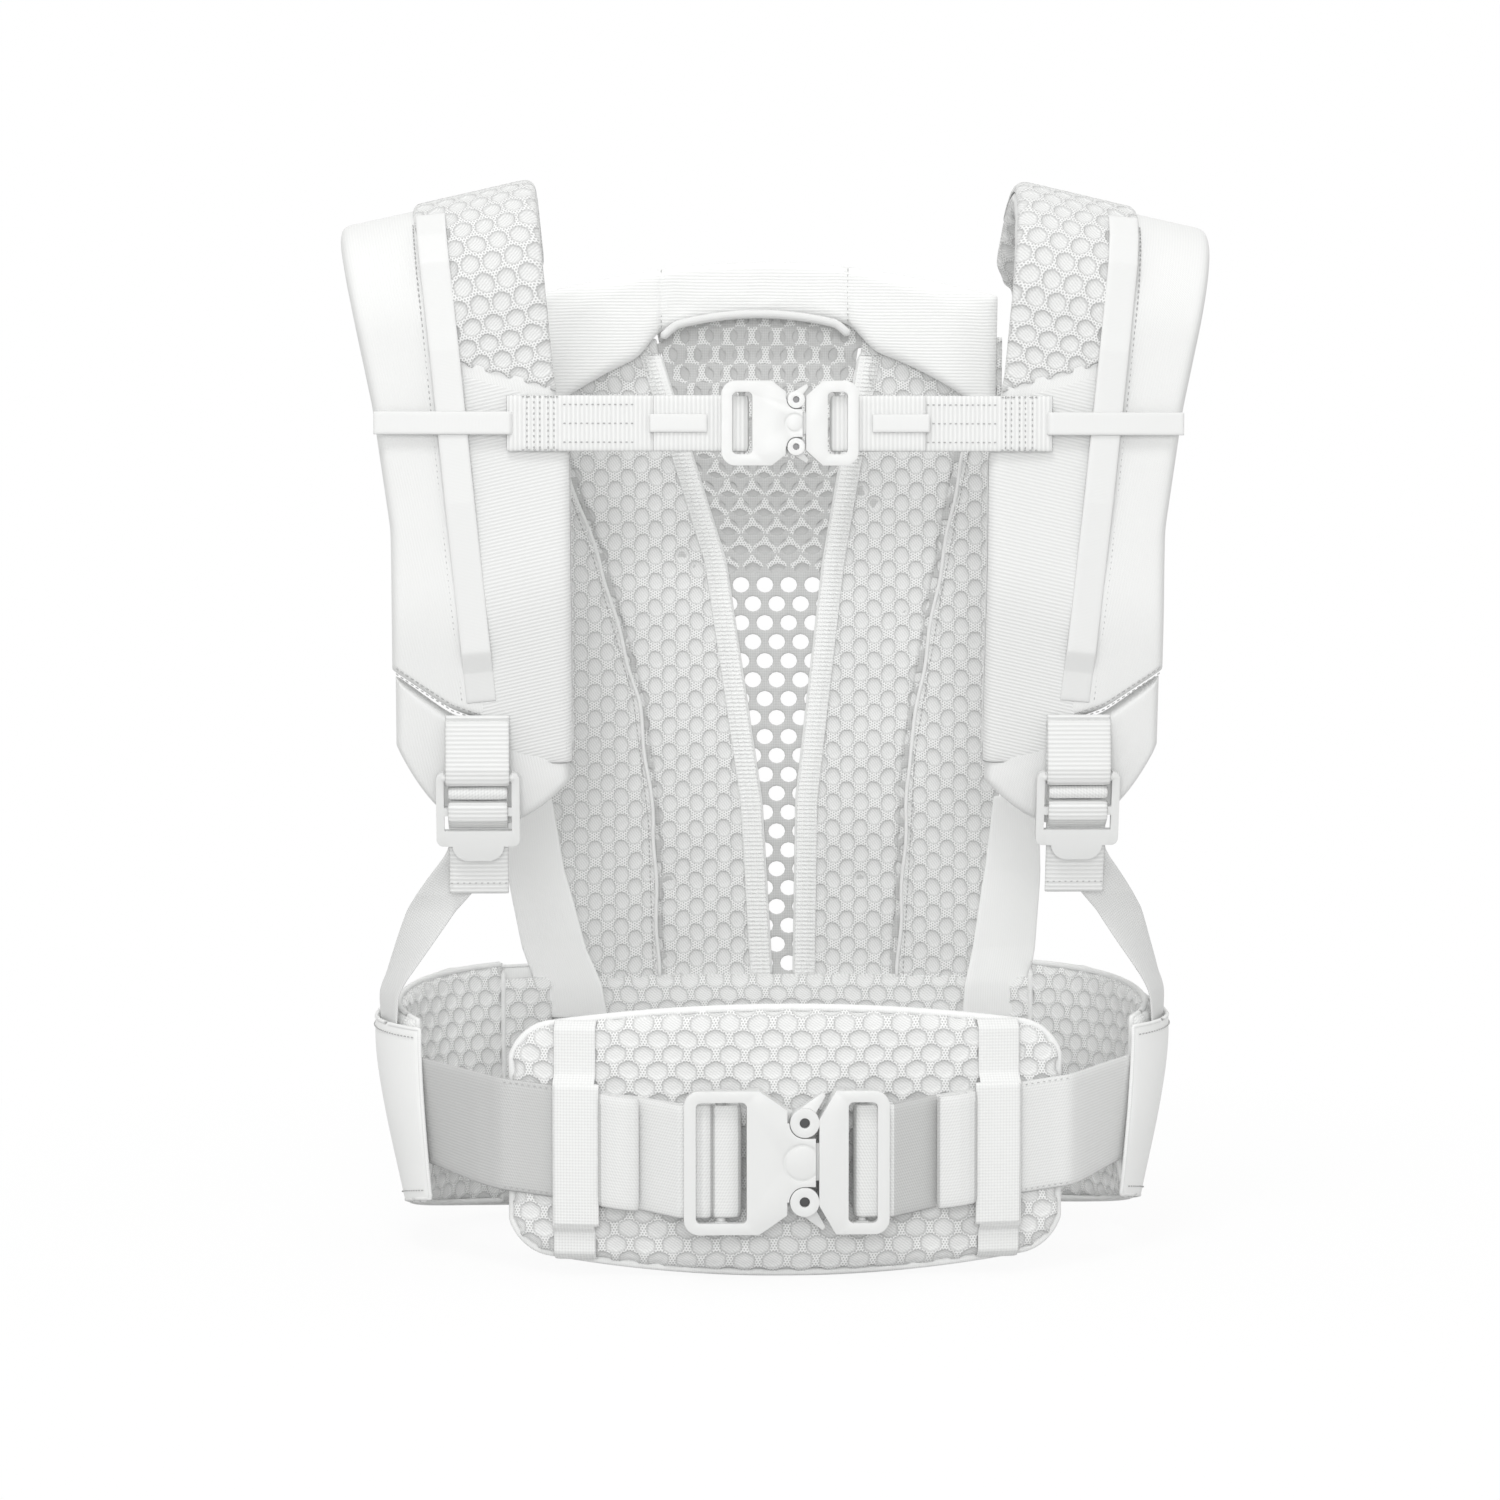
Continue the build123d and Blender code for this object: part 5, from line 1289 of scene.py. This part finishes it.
def build_chest_strap():
    body_box, latch_box = node_mm("chest_buckle_body"), node_mm("chest_buckle_latch")
    middle_x = (body_box[0][0] + latch_box[1][0]) / 2
    half = (latch_box[1][0] - body_box[0][0]) / 2
    chest_y = (body_box[0][1] + body_box[1][1]) / 2
    rail_y = chest_y + 1.2
    body = "chest_strap"
    for side, sign in SIDES:
        bar_x = middle_x + sign * (half - 4.6 - 4.3)
        bar_y = chest_y + 2.6
        entry_x = middle_x + sign * (half + 1.5)
        turn = CHEST_BAR + LOOSE + WEB / 2
        tail_y = rail_y - WEB - LOOSE
        tail_x = entry_x + sign * 28.0
        plan = [(sign * 117.2, rail_y), (entry_x + sign * 14, rail_y), (entry_x, bar_y + turn),
                (bar_x + sign * 0.5, bar_y + turn)]
        round_bar = np.linspace(0.3, pi - 0.3, 6)
        plan += [(bar_x - sign * turn * sin(t), bar_y + turn * cos(t)) for t in round_bar]
        plan += [(bar_x + sign * 0.5, bar_y - turn), (entry_x, bar_y - turn), (entry_x + sign * 4, tail_y),
                 (tail_x, tail_y)]
        points = bent_route([(x, y, CHEST_LEVEL) for x, y in plan], 2.0, 1.6)
        strip = webbing(f"chest_web_{side}", points, (0, 0, 1), 25.0, WEB - 0.15, "ribbed_webbing", ribs=8)
        stretch = (("chest_strap", "chest_latch"), (108.0, 0, 0), (64.0, 0, 0)) if sign > 0 else None
        place_piece(strip, (f"chest_webbing_{side}",), body, stretch)
        # slider of smooth elastic round the tape rail
        slider = node_mm(f"chest_slider_{side}")
        front, back = slider[0][1] + 0.6, slider[1][1] - 0.4
        corners = ((152.0, back), (115.2, back), (114.0, (front + back) / 2), (115.2, front),
                   (150.0, front), (170.0, front + 0.3), (173.5, front + 0.3))
        points = bent_route([(sign * x, y, CHEST_LEVEL) for x, y in corners], 1.6, 1.6)
        band = webbing(f"chest_slider_band_{side}", points, (0, 0, 1), 10.3, 1.0, "satin_tape", ribs=8)
        place_piece(band, (f"chest_slider_{side}",), body)
        (inner, near, _), (outer, far, _) = node_mm(f"chest_keeper_{side}")
        if sign < 0:
            inner, outer = outer, inner
        corners = [(inner, near + 0.5), (outer - sign * 0.5, near + 0.5), (outer - sign * 0.5, far - 0.3)]
        points = bent_route([(x, y, CHEST_LEVEL) for x, y in corners], 0.6, 1.4)
        loop = webbing(f"chest_keeper_band_{side}", points, (0, 0, 1), 8.4, 0.8, "satin_tape", ribs=6)
        holder = body if sign < 0 else "chest_latch"
        place_piece(loop, (f"chest_keeper_{side}",), holder)
        # five rows across, two along the edges and three along the doubled part
        y = rail_y - WEB / 2 - 0.05
        ends = [((x, -11.5), (x, 11.5)) for x in (96.5, 99.0, 102.5, 105.0, 108.0)]
        ends += [((94.0, up), (111.0, up)) for up in (-11.3, 11.3)]
        ends += [((62.0, up), (93.0, up)) for up in (-8.0, 0.0, 8.0)]
        rows = [([(sign * x, y, CHEST_LEVEL + up) for x, up in row], FRONT) for row in ends]
        stitches(f"chest_web_stitches_{side}", rows, body=body, length=1.3, thick=0.7, pitch=2.4,
                 bend=stretch)


# ---------- ladder locks and adjusters ----------
BAR, LOOP_BAR = 1.8, 2.0     # half a ladder lock's thickness, and the radius of its upper bar
MID_BAR = -15.0              # height of its middle bar, from the upper one
CLEAR = 1.3                  # from a strap's rounded end to the webbing behind a lock


def build_locks():
    # how far a lock's hinge lies out from the strap's middle, and the sewn webbing from the hinge
    lock_out = STRAP_HALF + CLEAR + 2 * (LOOSE + WEB) + BAR
    seat = STRAP_HALF - lock_out + CLEAR + WEB / 2
    joints = {joint["child"]: joint for joint in frame["record"]["behaviour"]["joints"]}
    out, up = np.array([0, -cos(TILT), -sin(TILT)]), np.array([0, -sin(TILT), cos(TILT)])
    for side, sign, body in (("left", -1, "lock_left"), ("right", 1, "lock_right")):
        base = np.array(joints[body]["pos_m"]) * 1000

        def route(places):
            """Points from places (outward, upward) in the plane across the lock's bars."""
            return [base + out * d + up * h for d, h in places]

        moulded(f"ladder_lock_body_{side}", f"ladder_lock_{side}", body, 0.9)
        gap = LOOP_BAR + LOOSE + WEB / 2
        turn = [(gap * cos(t), -gap * sin(t)) for t in np.linspace(0.2, pi - 0.2, 7)]
        tab = route([(seat + WEB + LOOSE, 25.0), (gap, 4.0), *turn, (-gap, 4.0), (seat, 16.0), (seat, 27.0)])
        strip = webbing(f"lock_loop_{side}", bent_route(tab, 1.5, 1.5), (1, 0, 0), 29.0, WEB - 0.15,
                        "ribbed_webbing", ribs=8)
        place_piece(strip, (f"lock_tab_{side}",))
        behind = -BAR - LOOSE - WEB / 2
        tail = route([(behind, MID_BAR - 1), (behind, MID_BAR + 2.6), (0, MID_BAR + 4.2),
                      (-behind, MID_BAR + 2.6), (-behind, MID_BAR - 3), (behind, -23.0), (behind, -29.0),
                      (behind - 0.3, -42.0), (behind, -53.6)])
        strip = webbing(f"adjuster_end_{side}", bent_route(tail, 1.2, 1.5), (1, 0, 0), 27.0, WEB - 0.15,
                        "ribbed_webbing", ribs=8)
        place_piece(strip, (f"adjuster_tail_{side}",), body)
        low, = route([(behind + 0.1, -48.0)])
        fold = np.linspace(low + [-13.0, 0, 0] + out, low + [13.0, 0, 0] + out, 12)
        stitches(f"adjuster_end_stitches_{side}", [(fold, out)], body=body, length=1.3, thick=0.5)
        # long webbing down to the pocket of the belt's wing, turned on edge on its way
        main = behind - WEB - LOOSE
        radius = END_RADIUS - POCKET_INSET - 14.5**2 / (2 * END_RADIUS)
        angle = radians(17)
        pocket = np.array([sign * (END_CENTRE + radius * cos(angle)), SHIFT_Y - radius * sin(angle),
                           BELT_HEIGHT - 2])
        corners = route([(0.0, -9.2), (1.8, -8.6), (2.2, -7.0), (1.8, -5.4), (0.0, -4.8),
                         (main + 1.2, -5.6), (main, -8.4), (main, -13.5), (main, -34.0)])
        leave = corners[-1]
        corners += [leave * 0.66 + pocket * 0.34 + [sign * 2.0, 0, 2.0],
                    (leave + pocket) / 2 + [sign * 1.0, 0, 5.0],
                    leave * 0.2 + pocket * 0.8 + [0, 0, 3.0], pocket, pocket + [0, 0, -20.0]]
        points = bent_route(corners, [1.0] * 7 + [14.0] * (len(corners) - 9), 2.2)
        across = ((0.0, sign, 0, 0), (0.3, sign, 0.02, 0.0), (0.5, sign * 0.88, 0.46, 0),
                  (0.8, sign * 0.42, 0.9, 0), (1.0, sign * sin(angle), cos(angle), 0))
        strip = webbing(f"adjuster_web_{side}", points, across, 27.0, WEB - 0.2, "plain_webbing", ribs=8,
                        wave=0.15)
        place_piece(strip, (f"adjuster_webbing_{side}",), bend=(("carrier", body), pocket, leave))


# ---------- panel and head support ----------
DOUBLER_LOW, NET_TOP = 298.0, 424.0
# height and x of points on the panel's lines
V_MIDDLE = ((111.0, 8.5), (200.0, 6.5), (305.0, 4.5), (404.0, -2.8), (424.0, -3.0))
V_HALF = ((111.0, 5.5), (192.0, 8.5), (305.0, 23.5), (404.0, 48.0), (424.0, 48.0))
FLAP_OUT = {
    "left": ((111.0, -88.0), (190.0, -106.0), (404.0, -112.0)),
    "right": ((111.0, 102.0), (190.0, 112.0), (404.0, 112.0)),
}
SIDE_SHIFT = (4.0, 2.5)      # moves the mesh cells of the side cloth off those of the flap
FLAP_SEAMS = {
    "left": ((109.0, -51.4), (182.6, -53.8), (239.5, -60.9), (305.8, -79.8), (350.8, -96.4), (404.0, -108.0)),
    "right": ((109.0, 63.7), (215.8, 69.4), (286.9, 81.2), (350.8, 93.1), (404.0, 106.0)),
}
# x, height and inset along each side band
SIDE_BAND = {
    "left": ((-114.0, 196.0, 6.4), (-110.5, 160.0, 7.0), (-103.0, 124.0, 10.5), (-97.5, 108.0, 14.6),
             (-95.0, 90.5, 14.9)),
    "right": ((119.5, 196.0, 6.4), (118.0, 160.0, 7.0), (115.0, 124.0, 10.5), (113.0, 108.0, 14.6),
              (112.5, 90.5, 14.9)),
}


def profile(table, z):
    """A line's x at height z, from its (height, x) points."""
    heights, values = zip(*table)
    return np.interp(z, heights, values)


def open_net(low, high):
    """The panel's open net with real holes, cut to the panel's outline and laid on its curve."""
    pitch, row, hole, thick = 11.4, 9.0, 0.34, 1.0
    bm = bmesh.new()
    across, up = int(ceil(2 * 112 / pitch)) + 2, int(ceil((high - low) / row)) + 2
    for j in range(up):
        for i in range(across):
            x = (i - across / 2 + (0.5 if j % 2 else 0.0)) * pitch
            spot = Matrix.Translation((x, j * pitch * SLANT, 0))
            bmesh.ops.create_circle(bm, cap_ends=True, segments=6, radius=pitch / sqrt(3), matrix=spot)
    bmesh.ops.remove_doubles(bm, verts=bm.verts, dist=0.1)
    bmesh.ops.inset_individual(bm, faces=bm.faces[:], thickness=pitch * (0.5 - hole), depth=0.0)
    holes = [f for f in bm.faces if len(f.verts) == 6]
    bmesh.ops.delete(bm, geom=holes, context="FACES")
    bmesh.ops.scale(bm, vec=(1, row / (pitch * SLANT), 1), verts=bm.verts)
    bmesh.ops.translate(bm, vec=(0, low - row, 0), verts=bm.verts)
    cuts = (((0, low, 0), (0, -1, 0)), ((0, high, 0), (0, 1, 0)),
            ((109.0, high, 0), (1, -0.037, 0)), ((-109.0, high, 0), (-1, -0.037, 0)),
            ((84.0, low, 0), (1, -0.2, 0)), ((-84.0, low, 0), (-1, -0.2, 0)))
    for point, normal in cuts:
        everything = bm.verts[:] + bm.edges[:] + bm.faces[:]
        bmesh.ops.bisect_plane(bm, geom=everything, plane_co=point, plane_no=normal, clear_outer=True)
    bmesh.ops.solidify(bm, geom=bm.faces[:], thickness=thick)
    layer = bm.loops.layers.uv.new("cloth")
    for face in bm.faces:
        for loop in face.loops:
            loop[layer].uv = (loop.vert.co.x / 100, loop.vert.co.y / 100)
    for vertex in bm.verts:
        x, z, depth = vertex.co
        vertex.co = Vector(on_panel(x, z, 2.5 - depth)) * 0.001
    face_outward(bm)
    net = add_object("panel_open_net", mesh_from(bm, "panel_open_net"), ["open_net_yarn"])
    subdivide(net, 1)
    place_piece(net, ("panel_net",))


def build_panel():
    cells = sunken_cells("panel", 1.1)
    low, top = BELT_FRONT_HEIGHT - 6.0, 411.0
    open_net(low, NET_TOP)
    for side, sign in SIDES:
        seam = FLAP_SEAMS[side]

        def opening(z):
            """Edge of the opening between the flaps."""
            return profile(V_MIDDLE, z) + sign * profile(V_HALF, z)

        def scallop(z):
            """Waves along the flap's outer seam."""
            return 0.5 * np.sin(z / 6.5)

        def between(share, first, last):
            """From the first line to the last, or the other way round on the left side."""
            if sign < 0:
                first, last = last, first
            return first + (share + 1) / 2 * (last - first)

        def flap(a, b):
            z = low + (b + 1) / 2 * (top - low)
            x = between(a, opening(z), profile(seam, z) + sign * 6.0)
            return on_panel(x, z, 3.8), flat_on_panel(x, z)

        def relief(x, z):
            tape = 1 - smooth_step(np.abs(x - opening(z)), 9.0, 10.5)
            beyond = sign * (x - profile(seam, z))
            sunken = cells(x, z) * (1 - tape)
            crease = 3.2 * np.exp(-(((beyond + 1.3) / 1.7) ** 2))
            seam_side = 2.0 * smooth_step(beyond, -2.0, 0.0)
            return sunken - crease - seam_side + 0.5 * tape + 0.9 * ripple(x, z, 55, 21 + sign)

        def side_cloth(a, b):
            z = low + (b + 1) / 2 * (top - low)
            inner = profile(seam, z) + sign * (scallop(z) - 0.4)
            x = between(crowd(a, 0.3), inner, profile(FLAP_OUT[side], z))
            return on_panel(x, z, 4.8), flat_on_panel(x, z) + SIDE_SHIFT

        def side_swell(g):
            return 2.4 * rounded(g.edge + 0.6, 2.5)

        def side_relief(x, z):
            beyond = sign * (x - SIDE_SHIFT[0] - profile(seam, z - SIDE_SHIFT[1]))
            return cells(x, z) * smooth_step(beyond, 1.0, 3.0)

        piece = cloth_shell(f"panel_flap_cloth_{side}", (22, 74), flap, 1.3, -0.8, ["flap_spacer_mesh"],
                            levels=2, relief=relief)
        place_piece(piece, (f"panel_flap_{side}",))
        outer = cloth_shell(f"panel_side_cloth_{side}", (15, 74), side_cloth, side_swell, -0.6,
                            ["flap_spacer_mesh"], levels=2, relief=side_relief)
        place_piece(outer)
        # overlocked edge along the opening between the flaps
        z = np.linspace(low + 2, 403.0, 90)

        def beside(away, inset):
            return on_panel(opening(z) + sign * away, z, inset)

        edge = piping(f"panel_edge_{side}", beside(0.4, 4.8), 1.1, "edge_thread")
        place_piece(edge)
        tape = webbing(f"panel_edge_tape_{side}", beside(5.2, 6.0), (1, 0, 0), 10.6, 0.7, "band_twill")
        place_piece(tape)
        ladders = [(beside(away, 6.5), FRONT, True) for away in (2.2, 5.2, 8.2)]
        stitches(f"panel_overlock_{side}", ladders, length=2.5, thick=0.9, pitch=1.9, pale=True)
        rows = [(beside(away, 6.6), FRONT) for away in (0.6, 3.7, 6.7, 9.8)]
        stitches(f"panel_overlock_rows_{side}", rows, length=1.3, thick=0.8, pitch=1.9,
                 pale=True)
        seam_z = np.linspace(low + 2, 380.0, 90)
        hem = on_panel(profile(seam, seam_z) + sign * (scallop(seam_z) + 0.2), seam_z, 6.6)
        place_piece(piping(f"panel_hem_{side}", hem, 0.9, "edge_thread"))
        line = on_panel(profile(seam, seam_z) + sign * 2.8, seam_z, 7.2)
        stitches(f"panel_seam_{side}", [(line, FRONT)], length=1.7, thick=0.6, pitch=2.4)
        # smooth band down to the belt, in front of its lining
        corners = [on_panel(x, z, inset) for x, z, inset in SIDE_BAND[side]]
        points = bent_route(corners, 12.0, 2.2)
        widths = ((0, 24), (0.4, 31), (1, 36))
        band = webbing(f"side_band_cloth_{side}", points, (1, sign * 0.33, 0.0), widths, 1.0, "band_twill",
                       ribs=10)
        place_piece(band, (f"side_band_{side}",))

    def doubler(a, b):
        z = DOUBLER_LOW + (b + 1) / 2 * (NET_TOP - DOUBLER_LOW)
        half = np.interp(z, (DOUBLER_LOW, 306.0, 404.0, NET_TOP), (22.0, 24.0, 48.0, 52.0))
        x = profile(V_MIDDLE, z) + a * half
        return on_panel(x, z, 3.0), np.stack([x, z], -1)

    walls = sunken_cells("doubled", 0.8)
    piece = cloth_shell("panel_doubled_mesh", (28, 34), doubler, 0.5, -0.4, ["doubled_mesh"], levels=2,
                        relief=walls)
    place_piece(piece, ("panel_doubler",))


HEAD_SEAMS = (-51.0, 40.0)


def head_edges(x):
    """Lower and upper edge of the head support at x, seen square on."""
    drop = 9.0 * smooth_step(np.abs(x + 5.0), 44.0, 60.0)
    return 420.0 - 40.0 * (x / 112) ** 2 - drop, 446.0 - 16.0 * (x / 112) ** 2


def build_head_support():
    def surface(a, b):
        x = 111.6 * crowd(a, 0.4)
        low, high = head_edges(x)
        z = (low + high) / 2 + crowd(b, 0.5) * (high - low - 0.6) / 2
        return on_panel(x, z, 9.2), flat_on_panel(x, z)

    def relief(x, z):
        total = 0
        for line in HEAD_SEAMS:
            total = total - 1.1 * np.exp(-(((x - line) / 1.1) ** 2))
        return total + 0.35 * ripple(x, z, 50, 12)

    pad = cloth_shell("head_support", (54, 14), surface, domed(3.9, 5.0), domed(-3.9, 5.0),
                      ["ribbed_cloth", "fine_twill_cloth"], levels=2, air=1.0, relief=relief)
    place_piece(pad, ("head_support_foam", "head_support_face"))
    x = np.linspace(-52.0, 41.5, 60)
    drop = 4.0 * smooth_step(np.abs(x + 5), 38, 48)
    route = on_panel(x, 420.8 - 40.0 * ((x + 3) / 112) ** 2 - drop, 15.4)
    roll = piping("head_support_roll", route, 2.0, "fine_twill_cloth")
    place_piece(roll, ("head_support_piping",))
    lines = []
    for line in HEAD_SEAMS:
        low, high = head_edges(line)
        z = np.linspace(low + 2, high - 2, 20)
        lines.append((on_panel(np.full(20, line), z, 12.6), FRONT))
    stitches("head_support_stitches", lines, length=1.6, thick=0.5)


# ---------- stage ----------
SKY_LIGHT, FLOOR_LIGHT = 0.72, 0.62
WHITE_FLOOR = (0.2, 0.6)                        # the floor turns white between these distances, in metres
VIEW_AZIMUTH, VIEW_HEIGHT = radians(-2), radians(3)
VIEW_CENTRE = (-0.01356, -0.0873, 0.2254)       # in metres


def build_stage():
    scene = bpy.context.scene
    world = bpy.data.worlds.new("studio")
    scene.world = world
    world.use_nodes = True
    sky = Nodes(world.node_tree)
    plain = sky.tree.nodes["Background"]
    plain.inputs[0].default_value = (1.0, 1.0, 0.99, 1.0)
    plain.inputs[1].default_value = SKY_LIGHT
    white = sky.node("ShaderNodeBackground", (1, 1, 1, 1), 1.0).outputs[0]
    seen = sky.white_to_camera(plain.outputs[0], white)
    sky.tree.links.new(seen, sky.tree.nodes["World Output"].inputs[0])

    bm = bmesh.new()
    below = Matrix.Translation((0, 0, -0.0005))
    bmesh.ops.create_grid(bm, x_segments=1, y_segments=1, size=6.0, matrix=below)
    w = Weave("pale_floor", 0.9)
    w.shader.inputs["Base Color"].default_value = (*colours().floor, 1.0)
    glow = w.node("ShaderNodeEmission", (1, 1, 1, 1)).outputs[0]
    # the floor grows white away from the carrier, so that only its shadow is seen
    away = w.vector("LENGTH", w.node("ShaderNodeTexCoord").outputs["Object"])
    spread = w.node("ShaderNodeMapRange", away, *WHITE_FLOOR, 0.9, 1.0).outputs[0]
    part = w.node("ShaderNodeMixShader", spread, w.shader.outputs[0], glow).outputs[0]
    # less light is thrown back up than a white floor would give, so that light comes from above
    bounce = w.node("ShaderNodeBsdfDiffuse", (*[FLOOR_LIGHT] * 3, 1.0)).outputs[0]
    seen = w.white_to_camera(bounce, part)
    w.tree.links.new(seen, w.tree.nodes["Material Output"].inputs[0])
    add_object("floor", mesh_from(bm, "floor"), [w.material])

    for name, place, aim, power, size in (
        ("front", (-0.1, -2.1, 0.6), (0, 0, 0.2), 15.5, 0.9),
        ("key", (-0.4, -1.2, 2.0), (0, 0, 0.25), 11.0, 0.6),
        ("top", (0.2, 0.2, 2.0), (0, 0, 0.25), 3.0, 1.2),
    ):
        lamp = bpy.data.lights.new(name, "AREA")
        lamp.energy, lamp.size = power, size
        light = bpy.data.objects.new(name, lamp)
        scene.collection.objects.link(light)
        light.location = place
        light.rotation_euler = (Vector(aim) - Vector(place)).to_track_quat("-Z", "Y").to_euler()

    lens = bpy.data.cameras.new("camera")
    lens.lens, lens.sensor_width = 87.8, 36.0
    camera = bpy.data.objects.new("camera", lens)
    scene.collection.objects.link(camera)
    level = cos(VIEW_HEIGHT)
    back = Vector((sin(VIEW_AZIMUTH) * level, -cos(VIEW_AZIMUTH) * level, sin(VIEW_HEIGHT)))
    camera.location = Vector(VIEW_CENTRE) + back * sizes().camera_distance
    camera.rotation_euler = (-back).to_track_quat("-Z", "Y").to_euler()
    lens.clip_start, lens.clip_end = 0.05, 30.0
    scene.camera = camera
    scene.view_settings.view_transform = "Standard"


# ---------- operators ----------
class CARRIER_OT_belt(bpy.types.Operator):
    """Sew the belt: padded front, two wings and their linings"""
    bl_idname = "carrier.belt"
    bl_label = "Belt"

    def execute(self, context):
        build_belt()
        return {"FINISHED"}


class CARRIER_OT_lumbar_pad(bpy.types.Operator):
    """Sew the lumbar pad with its edging, bands and keepers"""
    bl_idname = "carrier.lumbar_pad"
    bl_label = "Lumbar pad"

    def execute(self, context):
        build_lumbar_pad()
        return {"FINISHED"}


class CARRIER_OT_waist_webbing(bpy.types.Operator):
    """Thread the waist webbing round the buckle and roll up its ends"""
    bl_idname = "carrier.waist_webbing"
    bl_label = "Waist webbing"

    def execute(self, context):
        build_waist_webbing()
        return {"FINISHED"}


class CARRIER_OT_buckles(bpy.types.Operator):
    """Mould the two release buckles and finish their pins and springs"""
    bl_idname = "carrier.buckles"
    bl_label = "Buckles"

    def execute(self, context):
        build_buckles()
        return {"FINISHED"}


class CARRIER_OT_straps(bpy.types.Operator):
    """Sew the shoulder straps with their mesh, ribbed cloth, tapes and ends"""
    bl_idname = "carrier.straps"
    bl_label = "Shoulder straps"

    def execute(self, context):
        build_straps()
        return {"FINISHED"}


class CARRIER_OT_chest_strap(bpy.types.Operator):
    """Thread the chest strap, its sliders and its keepers"""
    bl_idname = "carrier.chest_strap"
    bl_label = "Chest strap"

    def execute(self, context):
        build_chest_strap()
        return {"FINISHED"}


class CARRIER_OT_locks(bpy.types.Operator):
    """Mould the ladder locks and thread the adjuster webbing"""
    bl_idname = "carrier.locks"
    bl_label = "Ladder locks"

    def execute(self, context):
        build_locks()
        return {"FINISHED"}


class CARRIER_OT_panel(bpy.types.Operator):
    """Sew the baby panel: open net, flaps, doubled mesh and side bands"""
    bl_idname = "carrier.panel"
    bl_label = "Panel"

    def execute(self, context):
        build_panel()
        return {"FINISHED"}


class CARRIER_OT_head_support(bpy.types.Operator):
    """Sew the padded head support and its rolled edge"""
    bl_idname = "carrier.head_support"
    bl_label = "Head support"

    def execute(self, context):
        build_head_support()
        return {"FINISHED"}


class CARRIER_OT_stage(bpy.types.Operator):
    """Set the floor, the lamps and the camera"""
    bl_idname = "carrier.stage"
    bl_label = "Stage"

    def execute(self, context):
        build_stage()
        return {"FINISHED"}


class CARRIER_PT_panel(bpy.types.Panel):
    bl_idname = "CARRIER_PT_panel"
    bl_label = "Soft baby carrier"
    bl_space_type = "VIEW_3D"
    bl_region_type = "UI"
    bl_category = "Carrier"

    def draw(self, context):
        for group in (context.scene.carrier_sizes, context.scene.carrier_colours):
            for key in group.__annotations__:
                self.layout.prop(group, key)
        for operator in OPERATORS:
            self.layout.operator(operator.bl_idname)


OPERATORS = (
    CARRIER_OT_stage, CARRIER_OT_belt, CARRIER_OT_lumbar_pad, CARRIER_OT_waist_webbing, CARRIER_OT_buckles,
    CARRIER_OT_straps, CARRIER_OT_chest_strap, CARRIER_OT_locks, CARRIER_OT_panel, CARRIER_OT_head_support,
)


def register():
    for cls in (CarrierSizes, CarrierColours, *OPERATORS, CARRIER_PT_panel):
        bpy.utils.register_class(cls)
    bpy.types.Scene.carrier_sizes = PointerProperty(type=CarrierSizes)
    bpy.types.Scene.carrier_colours = PointerProperty(type=CarrierColours)


def unregister():
    del bpy.types.Scene.carrier_colours
    del bpy.types.Scene.carrier_sizes
    for cls in reversed((CarrierSizes, CarrierColours, *OPERATORS, CARRIER_PT_panel)):
        bpy.utils.unregister_class(cls)


def main():
    register()
    bpy.ops.carrier.stage()
    bpy.ops.carrier.belt()
    bpy.ops.carrier.lumbar_pad()
    bpy.ops.carrier.waist_webbing()
    bpy.ops.carrier.buckles()
    bpy.ops.carrier.straps()
    bpy.ops.carrier.chest_strap()
    bpy.ops.carrier.locks()
    bpy.ops.carrier.panel()
    bpy.ops.carrier.head_support()
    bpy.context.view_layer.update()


if __name__ == "__main__":
    main()
